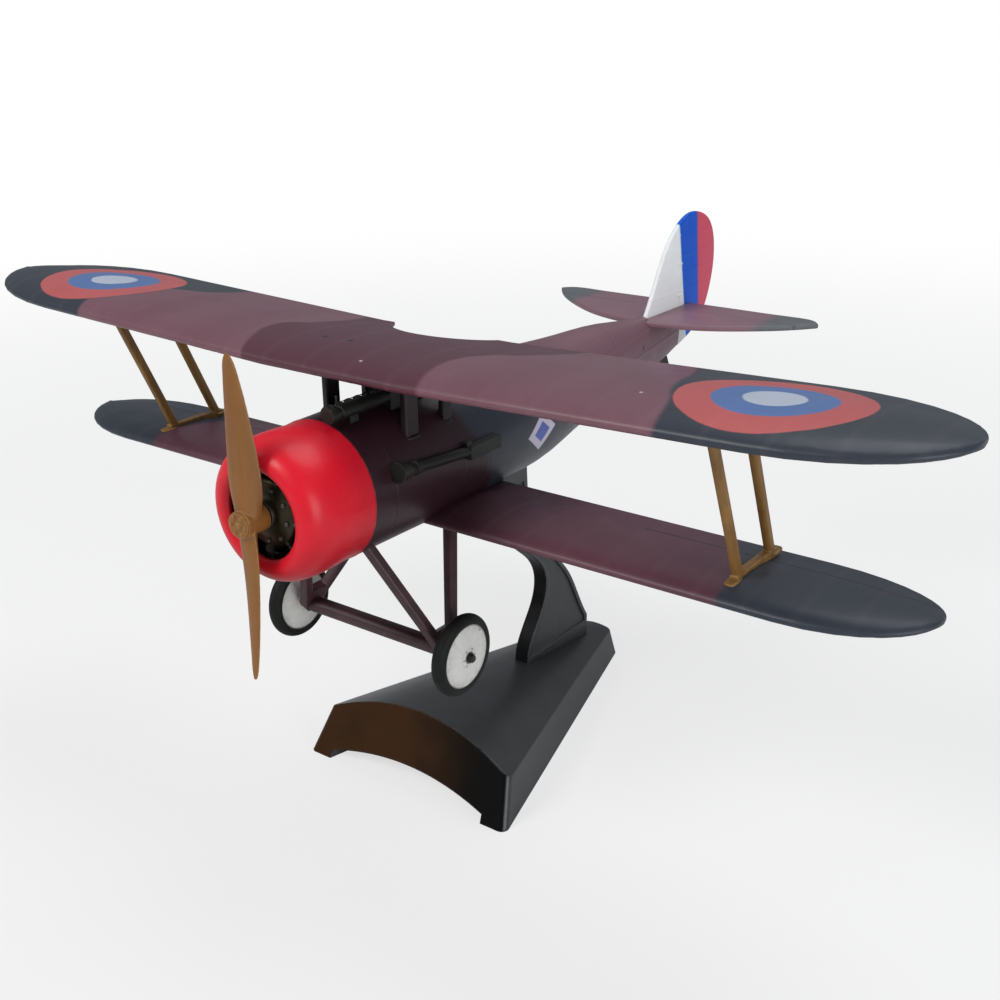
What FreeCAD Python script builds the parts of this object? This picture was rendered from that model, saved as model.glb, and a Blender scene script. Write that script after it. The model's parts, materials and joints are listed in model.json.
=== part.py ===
import FreeCAD, Part
import math
import os

# Display model of a biplane on a stand, in millimetres.
# The aircraft is drawn about the propeller hub: X to port, Y aft, Z up.
# Every aircraft piece is then placed by craft_y and craft_z, so the table is Z = 0
# and the origin is on the table under the middle of the whole model.

SIZES = {
    "craft_y": -62.5,
    "craft_z": 55.5,
    "up_half_span": 81.6,
    "up_lead": 15.6,
    "up_trail": 41.8,
    "up_tip_y": 28.6,
    "up_tip_start": 60.0,
    "up_height": 16.3,
    "up_rise": 2.3,
    "up_flat_half": 12.0,
    "up_thick": 3.1,
    "cutout_radius": 10.46,
    "cutout_y": 45.76,
    "lo_half_span": 77.2,
    "lo_lead": 27.8,
    "lo_trail": 46.9,
    "lo_tip_y": 38.8,
    "lo_tip_start": 60.0,
    "lo_height": -7.4,
    "lo_rise": 0.0,
    "lo_flat_half": 60.0,
    "lo_thick": 2.5,
    "edge_lift": 0.4,
    "socket_gap": 0.05,
    "shell_wall": 1.4,
    "spigot_radius": 8.8,
    "spigot_front": 11.0,
    "shell_front": 14.17,
    "cowl_radius": 10.02,
    "cowl_front": 2.5,
    "cowl_mouth": 6.08,
    "cowl_wall": 0.95,
    "shaft_radius": 0.6,
    "engine_front": 4.8,
    "case_radius": 2.7,
    "cylinder_count": 9,
    "cylinder_radius": 1.15,
    "prop_radius": 22.3,
    "boss_radius": 1.85,
    "boss_front": -0.6,
    "boss_back": 3.0,
    "blade_root_y": 0.95,
    "blade_rake": 1.25,
    "shaft_tip": -1.3,
    "strut_x": 52.9,
    "strut_thick": 1.15,
    "cabane_x": 7.2,
    "cabane_thick": 1.2,
    "gear_top_x": 6.04,
    "gear_top_z": -7.9,
    "axle_x": 13.4,
    "axle_y": 23.8,
    "axle_z": -24.47,
    "axle_radius": 0.45,
    "axle_half": 17.7,
    "leg_thick": 1.5,
    "wheel_x": 15.85,
    "tyre_radius": 6.06,
    "disc_radius": 4.75,
    "run_gap": 0.05,
    "tail_z": 5.35,
    "tail_thick": 1.0,
    "fin_foot_y": 100.2,
    "stern_y": 113.0,
    "fin_thick": 0.9,
    "gun_x": 3.0,
    "gun_z": 11.2,
    "side_gun_x": 10.5,
    "side_gun_z": 3.5,
    "base_y": -5.25,
    "base_half_len": 29.5,
    "base_front_half": 20.4,
    "base_rear_half": 4.1,
    "arm_thick": 2.6,
    "arm_recess": 0.35,
    "tab_thick": 2.0,
    "slot_gap": 0.1,
    "screw_y": 71.0,
}

doc = FreeCAD.newDocument("biplane_model")
sheet = doc.addObject("Spreadsheet::Sheet", "Sheet")
for row, (alias, value) in enumerate(SIZES.items(), start=1):
    sheet.set(f"A{row}", alias)
    sheet.set(f"B{row}", str(value))
    sheet.setAlias(f"B{row}", alias)
doc.recompute()

PORT, STARBOARD = 1, -1
NODES = []


def size(alias):
    return float(sheet.get(alias))


def vec(x, y, z=0.0):
    return FreeCAD.Vector(x, y, z)


def place_on_craft(item, dx="0", dy="0", dz="0"):
    """Puts an object drawn about the hub into the shared frame."""
    item.setExpression("Placement.Base.x", dx)
    item.setExpression("Placement.Base.y", f"Sheet.craft_y + {dy}")
    item.setExpression("Placement.Base.z", f"Sheet.craft_z + {dz}")


def new_body(name, on_craft=True):
    body = doc.addObject("PartDesign::Body", name)
    body.Label = name
    if on_craft:
        place_on_craft(body)
    else:
        body.setExpression("Placement.Base.y", "Sheet.base_y")
    return body


def sketch_on(body, plane, offset=0.0):
    """A sketch on one of the body's planes, moved along that plane's normal."""
    sketch = body.newObject("Sketcher::SketchObject", f"{body.Name}_outline")
    support = [f for f in body.Origin.OriginFeatures if f.Role == plane][0]
    sketch.AttachmentSupport = [(support, "")]
    sketch.MapMode = "FlatFace"
    sketch.AttachmentOffset = FreeCAD.Placement(vec(0, 0, offset), FreeCAD.Rotation())
    return sketch


def curve_through(points, ends=None):
    """A smooth curve, its parameter spaced by distance so that it cannot fold back on itself."""
    curve = Part.BSplineCurve()
    poles = [vec(*p) for p in points]
    if not ends:
        curve.interpolate(poles)
        return curve
    steps = [(after - before).Length for before, after in zip(poles, poles[1:])]
    length = sum(steps)
    spacing = [sum(steps[:index]) / length for index in range(len(poles))]
    curve.interpolate(Points=poles, Parameters=spacing, Scale=False,
                      InitialTangent=vec(*ends[0]) * length, FinalTangent=vec(*ends[1]) * length)
    return curve


def line(start, end):
    return Part.LineSegment(vec(*start), vec(*end))


def polygon(sketch, points):
    for start, end in zip(points, points[1:] + points[:1]):
        sketch.addGeometry(line(start, end), False)


def pad(body, sketch, length, reverse=False):
    feature = body.newObject("PartDesign::Pad", f"{body.Name}_pad")
    feature.Profile = sketch
    feature.setExpression("Length", length)
    feature.Reversed = reverse
    doc.recompute()
    return feature


def loft(body, sketches, ruled=False, cut=False):
    kind = "PartDesign::SubtractiveLoft" if cut else "PartDesign::AdditiveLoft"
    feature = body.newObject(kind, f"{body.Name}_loft")
    feature.Profile = sketches[0]
    feature.Sections = sketches[1:]
    feature.Ruled = ruled
    doc.recompute()
    return feature


def revolve(body, sketch, axis="H_Axis"):
    feature = body.newObject("PartDesign::Revolution", f"{body.Name}_turn")
    feature.Profile = sketch
    feature.ReferenceAxis = (sketch, [axis])
    feature.Angle = 360
    doc.recompute()
    return feature


def fillet(body, feature, radius, wanted):
    """Rounds the feature's edges for which wanted(edge) is true."""
    names = [f"Edge{i}" for i, e in enumerate(feature.Shape.Edges, start=1) if wanted(e)]
    rounded = body.newObject("PartDesign::Fillet", f"{body.Name}_fillet")
    rounded.Base = (feature, names)
    rounded.Radius = radius
    doc.recompute()
    return rounded


def box(name, corner, lengths):
    item = doc.addObject("Part::Box", name)
    item.Length, item.Width, item.Height = lengths
    place_on_craft(item, str(corner[0]), str(corner[1]), str(corner[2]))
    return item


def rod(name, start, end, radius, radius_end=None):
    """A cylinder or cone from start to end in the hub's frame."""
    axis = vec(*end) - vec(*start)
    if radius_end is None:
        item = doc.addObject("Part::Cylinder", name)
        item.Radius = radius
    else:
        item = doc.addObject("Part::Cone", name)
        item.Radius1, item.Radius2 = radius, radius_end
    item.Height = axis.Length
    where = vec(start[0], start[1] + size("craft_y"), start[2] + size("craft_z"))
    item.Placement = FreeCAD.Placement(where, FreeCAD.Rotation(vec(0, 0, 1), axis))
    return item


def joined(name, items):
    result = doc.addObject("Part::MultiFuse", name)
    result.Shapes = items
    result.Refine = True
    doc.recompute()
    return result


def group(name, items):
    result = doc.addObject("Part::Compound", name)
    result.Links = items
    doc.recompute()
    return result


def cut(name, base, tools):
    result = doc.addObject("Part::Cut", name)
    result.Base = base
    result.Tool = tools[0] if len(tools) == 1 else joined(f"{name}_tools", tools)
    result.Refine = False
    doc.recompute()
    return result


def node(item, name, solids=1):
    """Names an object as a sub-part and notes how many solids it must hold."""
    item.Label = name
    NODES.append((item, name, solids))
    return item


# ---------------------------------------------------------------- wings
# Section of a wing: fraction of the chord, fraction of the thickness.
UNDERSIDE = [(1.0, -0.28), (0.75, -0.38), (0.45, -0.44), (0.2, -0.46), (0.06, -0.40), (0.0, -0.10)]
UPPER_SIDE = [(0.0, -0.10), (0.05, 0.26), (0.15, 0.46), (0.32, 0.54), (0.55, 0.44), (0.8, 0.14),
              (1.0, -0.12)]
TIP_ANGLES = (13, 25, 36, 46, 55, 63, 70, 76, 81, 85, 87.5)


def wing_section(body, x, lead, trail, height, thick, gap=0.0):
    """The section at x; a gap moves both surfaces outwards, for the socket that takes the wing."""
    sketch = sketch_on(body, "YZ_Plane", x)
    chord = trail - lead
    lift = size("edge_lift") / (size("up_trail") - size("up_lead"))
    spread = [gap if u > 0 else 0.0 for u, v in UNDERSIDE]
    under = [(lead + u * chord, height + v * thick + u * chord * lift - out)
             for (u, v), out in zip(UNDERSIDE, spread)]
    spread = [gap if u > 0 else 0.0 for u, v in UPPER_SIDE]
    over = [(lead + u * chord, height + v * thick + u * chord * lift + out)
            for (u, v), out in zip(UPPER_SIDE, spread)]
    sketch.addGeometry(curve_through(under, ((-1, -0.04), (0, 1))), False)
    sketch.addGeometry(curve_through(over, ((0, 1), (1, -0.12))), False)
    sketch.addGeometry(line(over[-1], under[0]), False)
    return sketch


def wing_shape(name, key):
    """A flat centre, panels that rise to the tips, then a half-ellipse tip on each side."""
    body = new_body(name)
    half = size(f"{key}_half_span")
    flat_to, start = size(f"{key}_flat_half"), size(f"{key}_tip_start")
    lead, trail = size(f"{key}_lead"), size(f"{key}_trail")
    tip_y, thick = size(f"{key}_tip_y"), size(f"{key}_thick")
    slope = size(f"{key}_rise") / (half - flat_to)

    def at(x, share=1.0, flat=1.0):
        front = tip_y - (tip_y - lead) * share
        back = tip_y + (trail - tip_y) * share
        height = size(f"{key}_height") + slope * max(0.0, abs(x) - flat_to)
        return wing_section(body, x, front, back, height, thick * flat)

    places = [(flat_to, 1.0, 1.0)]
    if start > flat_to:
        places.append((start, 1.0, 1.0))
    for angle in TIP_ANGLES:
        share = math.cos(math.radians(angle))
        x = start + (half - start) * math.sin(math.radians(angle))
        places.append((x, share, max(share ** 0.8, 0.3)))
    sections = [at(-x, share, flat) for x, share, flat in reversed(places)]
    sections += [at(x, share, flat) for x, share, flat in places]
    body.Tip = loft(body, sections, ruled=True)
    return body


def wing_root(name, key, reach):
    """The straight middle of a wing, a little larger all round, to cut its socket in the fuselage."""
    body = new_body(name)
    gap = size("socket_gap")
    sketch = wing_section(body, -reach, size(f"{key}_lead") - gap, size(f"{key}_trail") + gap,
                          size(f"{key}_height"), size(f"{key}_thick"), gap)
    body.Tip = pad(body, sketch, str(2 * reach))
    return body


# ---------------------------------------------------------------- struts between the wings
def interplane_strut(name, side):
    """Two slanted struts joined by a foot bar below and a bar under the upper wing."""
    body = new_body(name)
    start = side * size("strut_x") - size("strut_thick") / 2
    sketch = sketch_on(body, "YZ_Plane", start)
    low, high = -6.75, 17.0
    shift = 9.9 / 22.3

    def y_at(y_low, z):
        return y_low - shift * (z + 6.2)

    front, rear, half = 33.34, 42.64, 0.82
    outer = [(front - 1.3, low), (rear + 1.0, low), (rear + 1.0, -5.5), (y_at(rear + half, -5.5), -5.5),
             (y_at(rear + half, high), high), (y_at(front - half, high), high),
             (y_at(front - half, -5.5), -5.5), (front - 1.3, -5.5)]
    inner = [(y_at(front + half, -5.5), -5.5), (y_at(rear - half, -5.5), -5.5),
             (y_at(rear - half, 15.9), 15.9), (y_at(front + half, 15.9), 15.9)]
    polygon(sketch, outer)
    polygon(sketch, inner)
    frame = pad(body, sketch, "Sheet.strut_thick")
    body.Tip = fillet(body, frame, 0.45, lambda e: e.Length > 15)
    return body


def cabane_frame(name, side):
    """A short front and rear strut from the fuselage to the upper wing, with a foot bar."""
    body = new_body(name)
    start = side * size("cabane_x") - size("cabane_thick") / 2
    sketch = sketch_on(body, "YZ_Plane", start)
    outer = [(23.3, 5.1), (33.4, 5.1), (33.4, 16.0), (31.4, 16.0), (31.4, 6.1), (26.0, 6.1),
             (26.0, 16.0), (23.3, 16.0)]
    polygon(sketch, outer)
    frame = pad(body, sketch, "Sheet.cabane_thick")
    body.Tip = fillet(body, frame, 0.4, lambda e: e.Length > 8 and abs(e.tangentAt(0).z) > 0.9)
    return body


# ---------------------------------------------------------------- fuselage
# Stations along the fuselage: Y, centre height, half width, half height.
STATIONS = [(14.17, 0.0, 9.97, 9.97), (25.0, 0.0, 10.1, 10.1), (38.0, 0.1, 10.3, 10.3),
            (50.0, 0.4, 9.9, 10.05), (60.0, 0.3, 8.9, 9.6), (71.0, 0.85, 7.2, 8.35),
            (83.0, 1.35, 5.2, 7.4), (94.0, 1.35, 3.5, 6.05), (105.0, 1.4, 1.9, 4.9),
            (113.0, 1.9, 0.65, 3.4)]


def station_at(y, wall=0.0):
    """Centre height, half width and half height at y, smoothly between the stations."""
    rows = STATIONS
    index = max(i for i in range(len(rows) - 1) if i == 0 or rows[i][0] <= y)
    before, start = rows[max(index - 1, 0)], rows[index]
    end, after = rows[index + 1], rows[min(index + 2, len(rows) - 1)]
    span = end[0] - start[0]
    share = (y - start[0]) / span
    values = []
    for column in (1, 2, 3):
        slope_in = (end[column] - before[column]) / (end[0] - before[0]) * span
        slope_out = (after[column] - start[column]) / (after[0] - start[0]) * span
        values.append(start[column] * (2 * share ** 3 - 3 * share ** 2 + 1)
                      + slope_in * (share ** 3 - 2 * share ** 2 + share)
                      + end[column] * (3 * share ** 2 - 2 * share ** 3)
                      + slope_out * (share ** 3 - share ** 2))
    return (y, values[0], values[1] - wall, values[2] - wall)


def spaced(start, end, count):
    return [start + (end - start) * index / (count - 1) for index in range(count)]


def half_section(body, side, y, centre, wide, tall):
    """Half an ellipse closed by a line on the middle plane."""
    sketch = sketch_on(body, "XZ_Plane", -y)
    tall = max(tall, wide + 0.005)
    oval = Part.Ellipse(vec(0, centre), tall, wide)
    oval.AngleXU = math.pi / 2
    start = math.pi if side == PORT else 0.0
    sketch.addGeometry(Part.ArcOfEllipse(oval, start, start + math.pi), False)
    sketch.addGeometry(line((0, centre + tall), (0, centre - tall)), False)
    return sketch


def fuselage_half(name, side):
    body = new_body(name)
    outer = spaced(size("shell_front"), size("stern_y"), 26)
    loft(body, [half_section(body, side, *station_at(y)) for y in outer], ruled=True)
    spigot = half_section(body, side, size("spigot_front"), 0.0, size("spigot_radius"),
                          size("spigot_radius"))
    pad(body, spigot, "Sheet.shell_front - Sheet.spigot_front", reverse=True)
    wall = size("shell_wall")
    inner = spaced(size("shell_front") + wall, 94.0, 14)
    body.Tip = loft(body, [half_section(body, side, *station_at(y, wall)) for y in inner], True, True)
    return body


def tail_slot():
    """Room for the fin above the tailplane."""
    body = new_body("tail_slot")
    low, front = size("tail_z"), size("fin_foot_y")
    sketch = sketch_on(body, "YZ_Plane", -12.0)
    polygon(sketch, [(front, low), (125.0, low), (125.0, 12.0), (front, 12.0)])
    pad(body, sketch, "24")
    return body


def cockpit_prism(name, half_x, half_y, floor):
    body = new_body(name)
    sketch = sketch_on(body, "XY_Plane", floor)
    oval = Part.Ellipse(vec(0, 46.3 + half_y), vec(half_x, 46.3), vec(0, 46.3))
    sketch.addGeometry(oval, False)
    pad(body, sketch, str(14.0 - floor))
    return body


# ---------------------------------------------------------------- nose
def cowling():
    body = new_body("cowling")
    sketch = sketch_on(body, "YZ_Plane")
    front, rear = size("cowl_front"), size("shell_front")
    radius, mouth, wall = size("cowl_radius"), size("cowl_mouth"), size("cowl_wall")
    outer = [(front + 0.6, mouth), (front, mouth + 0.9), (front + 0.35, mouth + 2.2),
             (front + 1.4, mouth + 3.2), (front + 3.0, radius - 0.2), (rear - 4.0, radius - 0.04),
             (rear, radius)]
    inner = [(rear, radius - wall), (rear - 4.0, radius - wall - 0.04), (front + 3.2, radius - wall - 0.2),
             (front + 2.0, mouth + 2.2), (front + 1.5, mouth + 0.9), (front + 1.3, mouth)]
    sketch.addGeometry(curve_through(outer), False)
    sketch.addGeometry(line(outer[-1], inner[0]), False)
    sketch.addGeometry(curve_through(inner), False)
    sketch.addGeometry(line(inner[-1], outer[0]), False)
    revolve(body, sketch)
    return body


def engine_block():
    """Crankcase, a ring of cylinders with two fins each, and the plate behind them."""
    case = rod("engine_case", (0, size("engine_front"), 0), (0, size("spigot_front"), 0),
               size("case_radius"))
    nose = rod("engine_nose", (0, 3.4, 0), (0, size("engine_front"), 0), 1.7, 2.2)
    plate = rod("engine_plate", (0, 10.0, 0), (0, size("spigot_front"), 0), 8.8)
    pieces = [case, nose, plate]
    count = int(size("cylinder_count"))
    for index in range(count):
        angle = 2 * math.pi * index / count
        out = (math.sin(angle), math.cos(angle))
        root, top = 2.0, 8.2
        pieces.append(rod(f"cylinder_{index}", (root * out[0], 7.4, root * out[1]),
                          (top * out[0], 7.4, top * out[1]), size("cylinder_radius")))
        for ring in (4.2, 5.1, 6.0, 6.9):
            pieces.append(rod(f"cooling_fin_{index}_{int(ring * 10)}",
                              (ring * out[0], 7.4, ring * out[1]),
                              ((ring + 0.35) * out[0], 7.4, (ring + 0.35) * out[1]),
                              size("cylinder_radius") + 0.3))
    whole = joined("engine_whole", pieces)
    bore = rod("engine_bore", (0, 0, 0), (0, 12, 0), size("shaft_radius") + size("run_gap"))
    return cut("engine_block", whole, [bore])


def blade_section(body, radius, chord, depth, pitch):
    """A lens across the blade, turned by its pitch; the blade leans forward to its tip."""
    sketch = sketch_on(body, "XY_Plane", radius)
    turn = math.radians(pitch)
    middle = size("blade_root_y") - size("blade_rake") * (radius / BLADE[-1][0]) ** 2

    def at(u, v):
        return (u * math.cos(turn) - v * math.sin(turn),
                u * math.sin(turn) + v * math.cos(turn) + middle)

    start, end = at(-chord / 2, 0), at(chord / 2, 0)
    front, back = at(0, -depth * 0.65), at(0, depth * 0.35)
    sketch.addGeometry(Part.Arc(vec(*start), vec(*front), vec(*end)), False)
    sketch.addGeometry(Part.Arc(vec(*end), vec(*back), vec(*start)), False)
    return sketch


# Radius, chord, depth and pitch of the propeller blade.
BLADE = [(0.6, 3.6, 2.6, 23), (3.0, 4.2, 2.0, 22), (6.0, 4.5, 1.6, 21), (11.5, 3.8, 1.15, 20),
         (17.0, 2.75, 0.85, 19), (20.0, 2.0, 0.65, 18), (21.7, 1.2, 0.5, 18), (22.3, 0.5, 0.35, 18)]


def propeller():
    blades = []
    for index in range(2):
        body = new_body(f"blade_{index}")
        loft(body, [blade_section(body, *row) for row in BLADE])
        body.Placement = FreeCAD.Placement(vec(0, size("craft_y"), size("craft_z")),
                                           FreeCAD.Rotation(vec(0, 1, 0), 180 * index))
        blades.append(body)
    front, back, radius = size("boss_front"), size("boss_back"), size("boss_radius")
    boss = rod("prop_boss", (0, front, 0), (0, back, 0), radius)
    plate = rod("prop_plate", (0, front - 0.35, 0), (0, front + 0.15, 0), radius - 0.1)
    bolts = []
    for index in range(6):
        angle = math.radians(60 * index + 30)
        x, z = 1.25 * math.sin(angle), 1.25 * math.cos(angle)
        bolts.append(rod(f"prop_bolt_{index}", (x, front - 0.55, z), (x, front, z), 0.24))
    whole = joined("propeller_whole", blades + [boss, plate] + bolts)
    bore = rod("propeller_bore", (0, -6, 0), (0, 6, 0), size("shaft_radius"))
    return cut("propeller", whole, [bore])


def propeller_shaft():
    body = new_body("propeller_shaft")
    sketch = sketch_on(body, "YZ_Plane")
    radius, tip = size("shaft_radius"), size("shaft_tip")
    back = size("spigot_front") + 0.1
    polygon(sketch, [(tip, 0), (tip, radius - 0.25), (tip + 0.25, radius), (back, radius), (back, 1.35),
                     (back + 1.0, 1.35), (back + 1.0, 0)])
    revolve(body, sketch)
    return body


# ---------------------------------------------------------------- landing gear
def gear_leg(name, side):
    """A V of two struts in a leaning plane, with a filled corner at the axle."""
    body = doc.addObject("PartDesign::Body", name)
    out = size("axle_x") - size("gear_top_x")
    down = size("gear_top_z") - size("axle_z")
    lean = math.degrees(math.atan2(out, down))
    reach = math.hypot(out, down)
    body.Placement = FreeCAD.Placement(
        vec(side * size("gear_top_x"), size("craft_y"), size("craft_z") + size("gear_top_z")),
        FreeCAD.Rotation(vec(0, 1, 0), -side * lean))
    sketch = sketch_on(body, "YZ_Plane", -size("leg_thick") / 2)
    axle, half, wide, top = size("axle_y"), 0.8, 1.1, 1.1
    front, rear = 16.5, 34.3

    def lerp(a, share):
        return a + (axle - a) * share

    split = 0.82
    polygon(sketch, [
        (lerp(front - half, -top / reach), top), (lerp(front + half, -top / reach), top),
        (lerp(front + half, split), -reach * split), (lerp(rear - wide, split), -reach * split),
        (lerp(rear - wide, -top / reach), top), (lerp(rear + wide, -top / reach), top),
        (axle + 1.7, -reach), (axle + 0.9, -reach - 0.95), (axle - 0.9, -reach - 0.95),
        (axle - 1.7, -reach)])
    leg = pad(body, sketch, "Sheet.leg_thick")
    body.Tip = fillet(body, leg, 0.4, lambda e: e.Length > 12)
    return body


def wheel_disc(name, side):
    body = new_body(name)
    place_on_craft(body, f"{side} * Sheet.wheel_x", "Sheet.axle_y", "Sheet.axle_z")
    sketch = sketch_on(body, "XY_Plane")
    bore = size("axle_radius") + size("run_gap")
    rim = size("disc_radius")
    polygon(sketch, [(-side * 1.15, bore), (side * 1.5, bore), (side * 1.5, 1.0), (side * 0.95, rim),
                     (-side * 0.85, rim), (-side * 1.0, 1.3), (-side * 1.15, 1.2)])
    revolve(body, sketch)
    return body


def tyre(name, side):
    body = new_body(name)
    place_on_craft(body, f"{side} * Sheet.wheel_x", "Sheet.axle_y", "Sheet.axle_z")
    sketch = sketch_on(body, "XY_Plane")
    rim = size("disc_radius")
    left, right, crown = vec(-1.1, rim), vec(1.1, rim), vec(0, size("tyre_radius"))
    sketch.addGeometry(Part.Arc(left, crown, right), False)
    sketch.addGeometry(Part.LineSegment(right, left), False)
    revolve(body, sketch)
    return body


# ---------------------------------------------------------------- tail
# Port half of the tailplane's outline: the leading edge outwards, then the trailing edge inwards.
TAIL_LEAD = [(0.0, 98.9), (4.0, 99.3), (10.5, 101.1), (18.5, 105.8), (24.8, 111.2), (27.8, 114.9)]
TAIL_TRAIL = [(27.8, 114.9), (26.2, 116.6), (21.0, 117.2), (10.0, 117.2), (0.0, 117.2)]


def tailplane():
    body = new_body("tailplane_blank")
    sketch = sketch_on(body, "XY_Plane", size("tail_z"))
    lead = [(-x, y) for x, y in TAIL_LEAD[:0:-1]] + TAIL_LEAD
    trail = TAIL_TRAIL + [(-x, y) for x, y in TAIL_TRAIL[-2::-1]]
    sketch.addGeometry(curve_through(lead), False)
    sketch.addGeometry(curve_through(trail), False)
    plate = pad(body, sketch, "Sheet.tail_thick")
    body.Tip = fillet(body, plate, 0.35, lambda e: e.Length > 20)
    return body


def fin_rudder():
    body = new_body("fin_blank")
    sketch = sketch_on(body, "YZ_Plane", -size("fin_thick") / 2)
    under, foot = size("tail_z"), size("tail_z") + size("tail_thick")
    front, stern, back = size("fin_foot_y"), size("stern_y") + 0.05, 117.25
    edge = [(front, foot), (102.5, 9.9), (105.4, 15.0), (108.2, 19.0), (111.5, 21.8), (116.0, 23.6),
            (120.5, 23.2), (123.8, 21.6), (125.8, 18.9), (126.6, 15.5), (126.5, 12.0), (125.7, 8.8),
            (124.4, 5.8), (122.4, 3.0), (119.8, 1.0), (116.5, -0.4), (stern, -1.4)]
    sketch.addGeometry(curve_through(edge), False)
    corner = [edge[-1], (stern, under), (back, under), (back, foot), edge[0]]
    for start, end in zip(corner, corner[1:]):
        sketch.addGeometry(line(start, end), False)
    blade = pad(body, sketch, "Sheet.fin_thick")
    body.Tip = fillet(body, blade, 0.4, lambda e: e.Length > 40)
    return body


def tail_skid():
    body = new_body("tail_skid")
    sketch = sketch_on(body, "YZ_Plane", -0.6)
    polygon(sketch, [(104.6, -2.6), (108.6, -2.4), (109.9, -5.0), (109.0, -5.6), (107.4, -5.0)])
    pad(body, sketch, "1.2")
    return body


# ---------------------------------------------------------------- guns
def top_gun():
    x, z = size("gun_x"), size("gun_z")
    barrel = rod("top_barrel", (x, 13.6, z), (x, 25.2, z), 0.8)
    muzzle = rod("top_muzzle", (x, 13.2, z), (x, 14.4, z), 1.05)
    jacket = rod("top_jacket", (x, 15.4, z), (x, 24.8, z), 0.98)
    post = box("top_post", (x - 0.5, 17.0, 9.0), (1.0, 1.6, z - 9.0))
    breech = box("top_breech", (x - 1.0, 24.6, 9.3), (2.0, 7.4, 2.7))
    handle = box("top_handle", (x - 0.35, 27.4, 11.8), (0.7, 2.2, 0.7))
    return joined("top_gun", [barrel, muzzle, jacket, post, breech, handle])


def side_gun():
    x, z = size("side_gun_x"), size("side_gun_z")
    fall = -0.09

    def on_line(y):
        return (x, y, z + fall * (y - 18.0))

    barrel = rod("side_barrel", on_line(18.6), on_line(34.0), 0.78)
    muzzle = rod("side_muzzle", on_line(17.9), on_line(20.0), 1.45, 1.1)
    collar = rod("side_collar", on_line(21.4), on_line(22.0), 1.0)
    breech = box("side_breech", (x - 1.0, 33.0, 1.0), (1.8, 7.2, 1.9))
    sight = box("side_sight", (x - 0.3, 32.6, 2.4), (0.7, 1.1, 1.2))
    return joined("side_gun", [barrel, muzzle, collar, breech, sight])


# ---------------------------------------------------------------- stand
def rounded_polygon(sketch, points, radii):
    """A closed outline of lines with an arc of the given radius at every corner."""
    corners = []
    count = len(points)
    for index, radius in enumerate(radii):
        here = vec(*points[index])
        back = (vec(*points[index - 1]) - here).normalize()
        ahead = (vec(*points[(index + 1) % count]) - here).normalize()
        half = back.getAngle(ahead) / 2
        away = (back + ahead).normalize()
        middle = here + away * (radius / math.sin(half) - radius)
        reach = radius / math.tan(half)
        corners.append((here + back * reach, middle, here + ahead * reach))
    for index, (start, middle, end) in enumerate(corners):
        sketch.addGeometry(Part.Arc(start, middle, end), False)
        sketch.addGeometry(Part.LineSegment(end, corners[(index + 1) % count][0]), False)


def base_plan(name):
    """The base's plan, narrower and further back as it rises, with rounded corners."""
    body = new_body(name, on_craft=False)
    half, front, rear = size("base_half_len"), size("base_front_half"), size("base_rear_half")

    def at(z):
        sketch = sketch_on(body, "XY_Plane", z)
        head, tail = -half + 0.496 * z, half - 0.15 * z
        wide, thin = front - 0.25 * z, rear - 0.2 * z
        rounded_polygon(sketch, [(-wide, head), (wide, head), (thin, tail), (-thin, tail)],
                        [1.2, 1.2, 1.1, 1.1])
        return sketch

    loft(body, [at(0.0), at(13.0)], ruled=True)
    return body


def arched_solid(name, spans, floor):
    """A ruled solid under an arc at each end: Y, half width, height at the sides, height in the middle."""
    body = new_body(name, on_craft=False)
    sketches = []
    for y, wide, side_z, top_z in spans:
        sketch = sketch_on(body, "XZ_Plane", -y)
        sketch.addGeometry(Part.Arc(vec(wide, side_z), vec(0, top_z), vec(-wide, side_z)), False)
        rim = [(-wide, side_z), (-wide, floor), (wide, floor), (wide, side_z)]
        for start, end in zip(rim, rim[1:]):
            sketch.addGeometry(line(start, end), False)
        sketches.append(sketch)
    loft(body, sketches, ruled=True)
    return body


def stand_base():
    """A crowned wedge with an arch under it and a front face that leans back."""
    half = size("base_half_len")
    crown = arched_solid("base_crown", [(-half - 1, 22.0, 6.05, 12.2), (half + 1, 5.0, 3.5, 5.1)], -2.0)
    arch = arched_solid("base_arch", [(-half - 1, 15.8, 1.3, 3.6), (half - 4, 1.7, 0.8, 1.5)], -1.0)
    whole = doc.addObject("Part::Common", "base_whole")
    whole.Base, whole.Tool = base_plan("base_plan"), crown
    doc.recompute()
    return cut("stand_base_blank", whole, [arch])


def arm_outline(sketch, inset):
    """The arm's side view; an inset of 1 gives the panel that is recessed inside its rim."""
    foot, shoulder = -50.2 + 3.6 * inset, -9.68 - 3.0 * inset
    ahead = [(61.1, -45.4), (63.7, -40.9), (66.2, -36.8), (66.6, -33.0), (64.6, -29.2), (62.0, -26.9),
             (57.0, -22.3), (52.4, -17.0), (49.6, -12.6)]
    behind = [(61.1, -14.7), (63.6, -20.8), (67.4, -27.0), (71.4, -31.5), (74.0, -34.6), (77.0, -39.8),
              (80.3, -45.6)]
    ahead = [(y + 1.1 * inset, z - 0.4 * inset) for y, z in ahead]
    behind = [(y - 0.8 * inset, z - 0.2 * inset) for y, z in behind]
    corners = [behind[-1], (behind[-1][0], foot), (ahead[0][0] - 0.6, foot), ahead[0]]
    top = [ahead[-1], (ahead[-1][0] - 0.6, shoulder), (behind[0][0] - 0.3, shoulder), behind[0]]
    sketch.addGeometry(curve_through(ahead), False)
    sketch.addGeometry(curve_through(behind), False)
    for chain in (corners, top):
        for start, end in zip(chain, chain[1:]):
            sketch.addGeometry(line(start, end), False)


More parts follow.
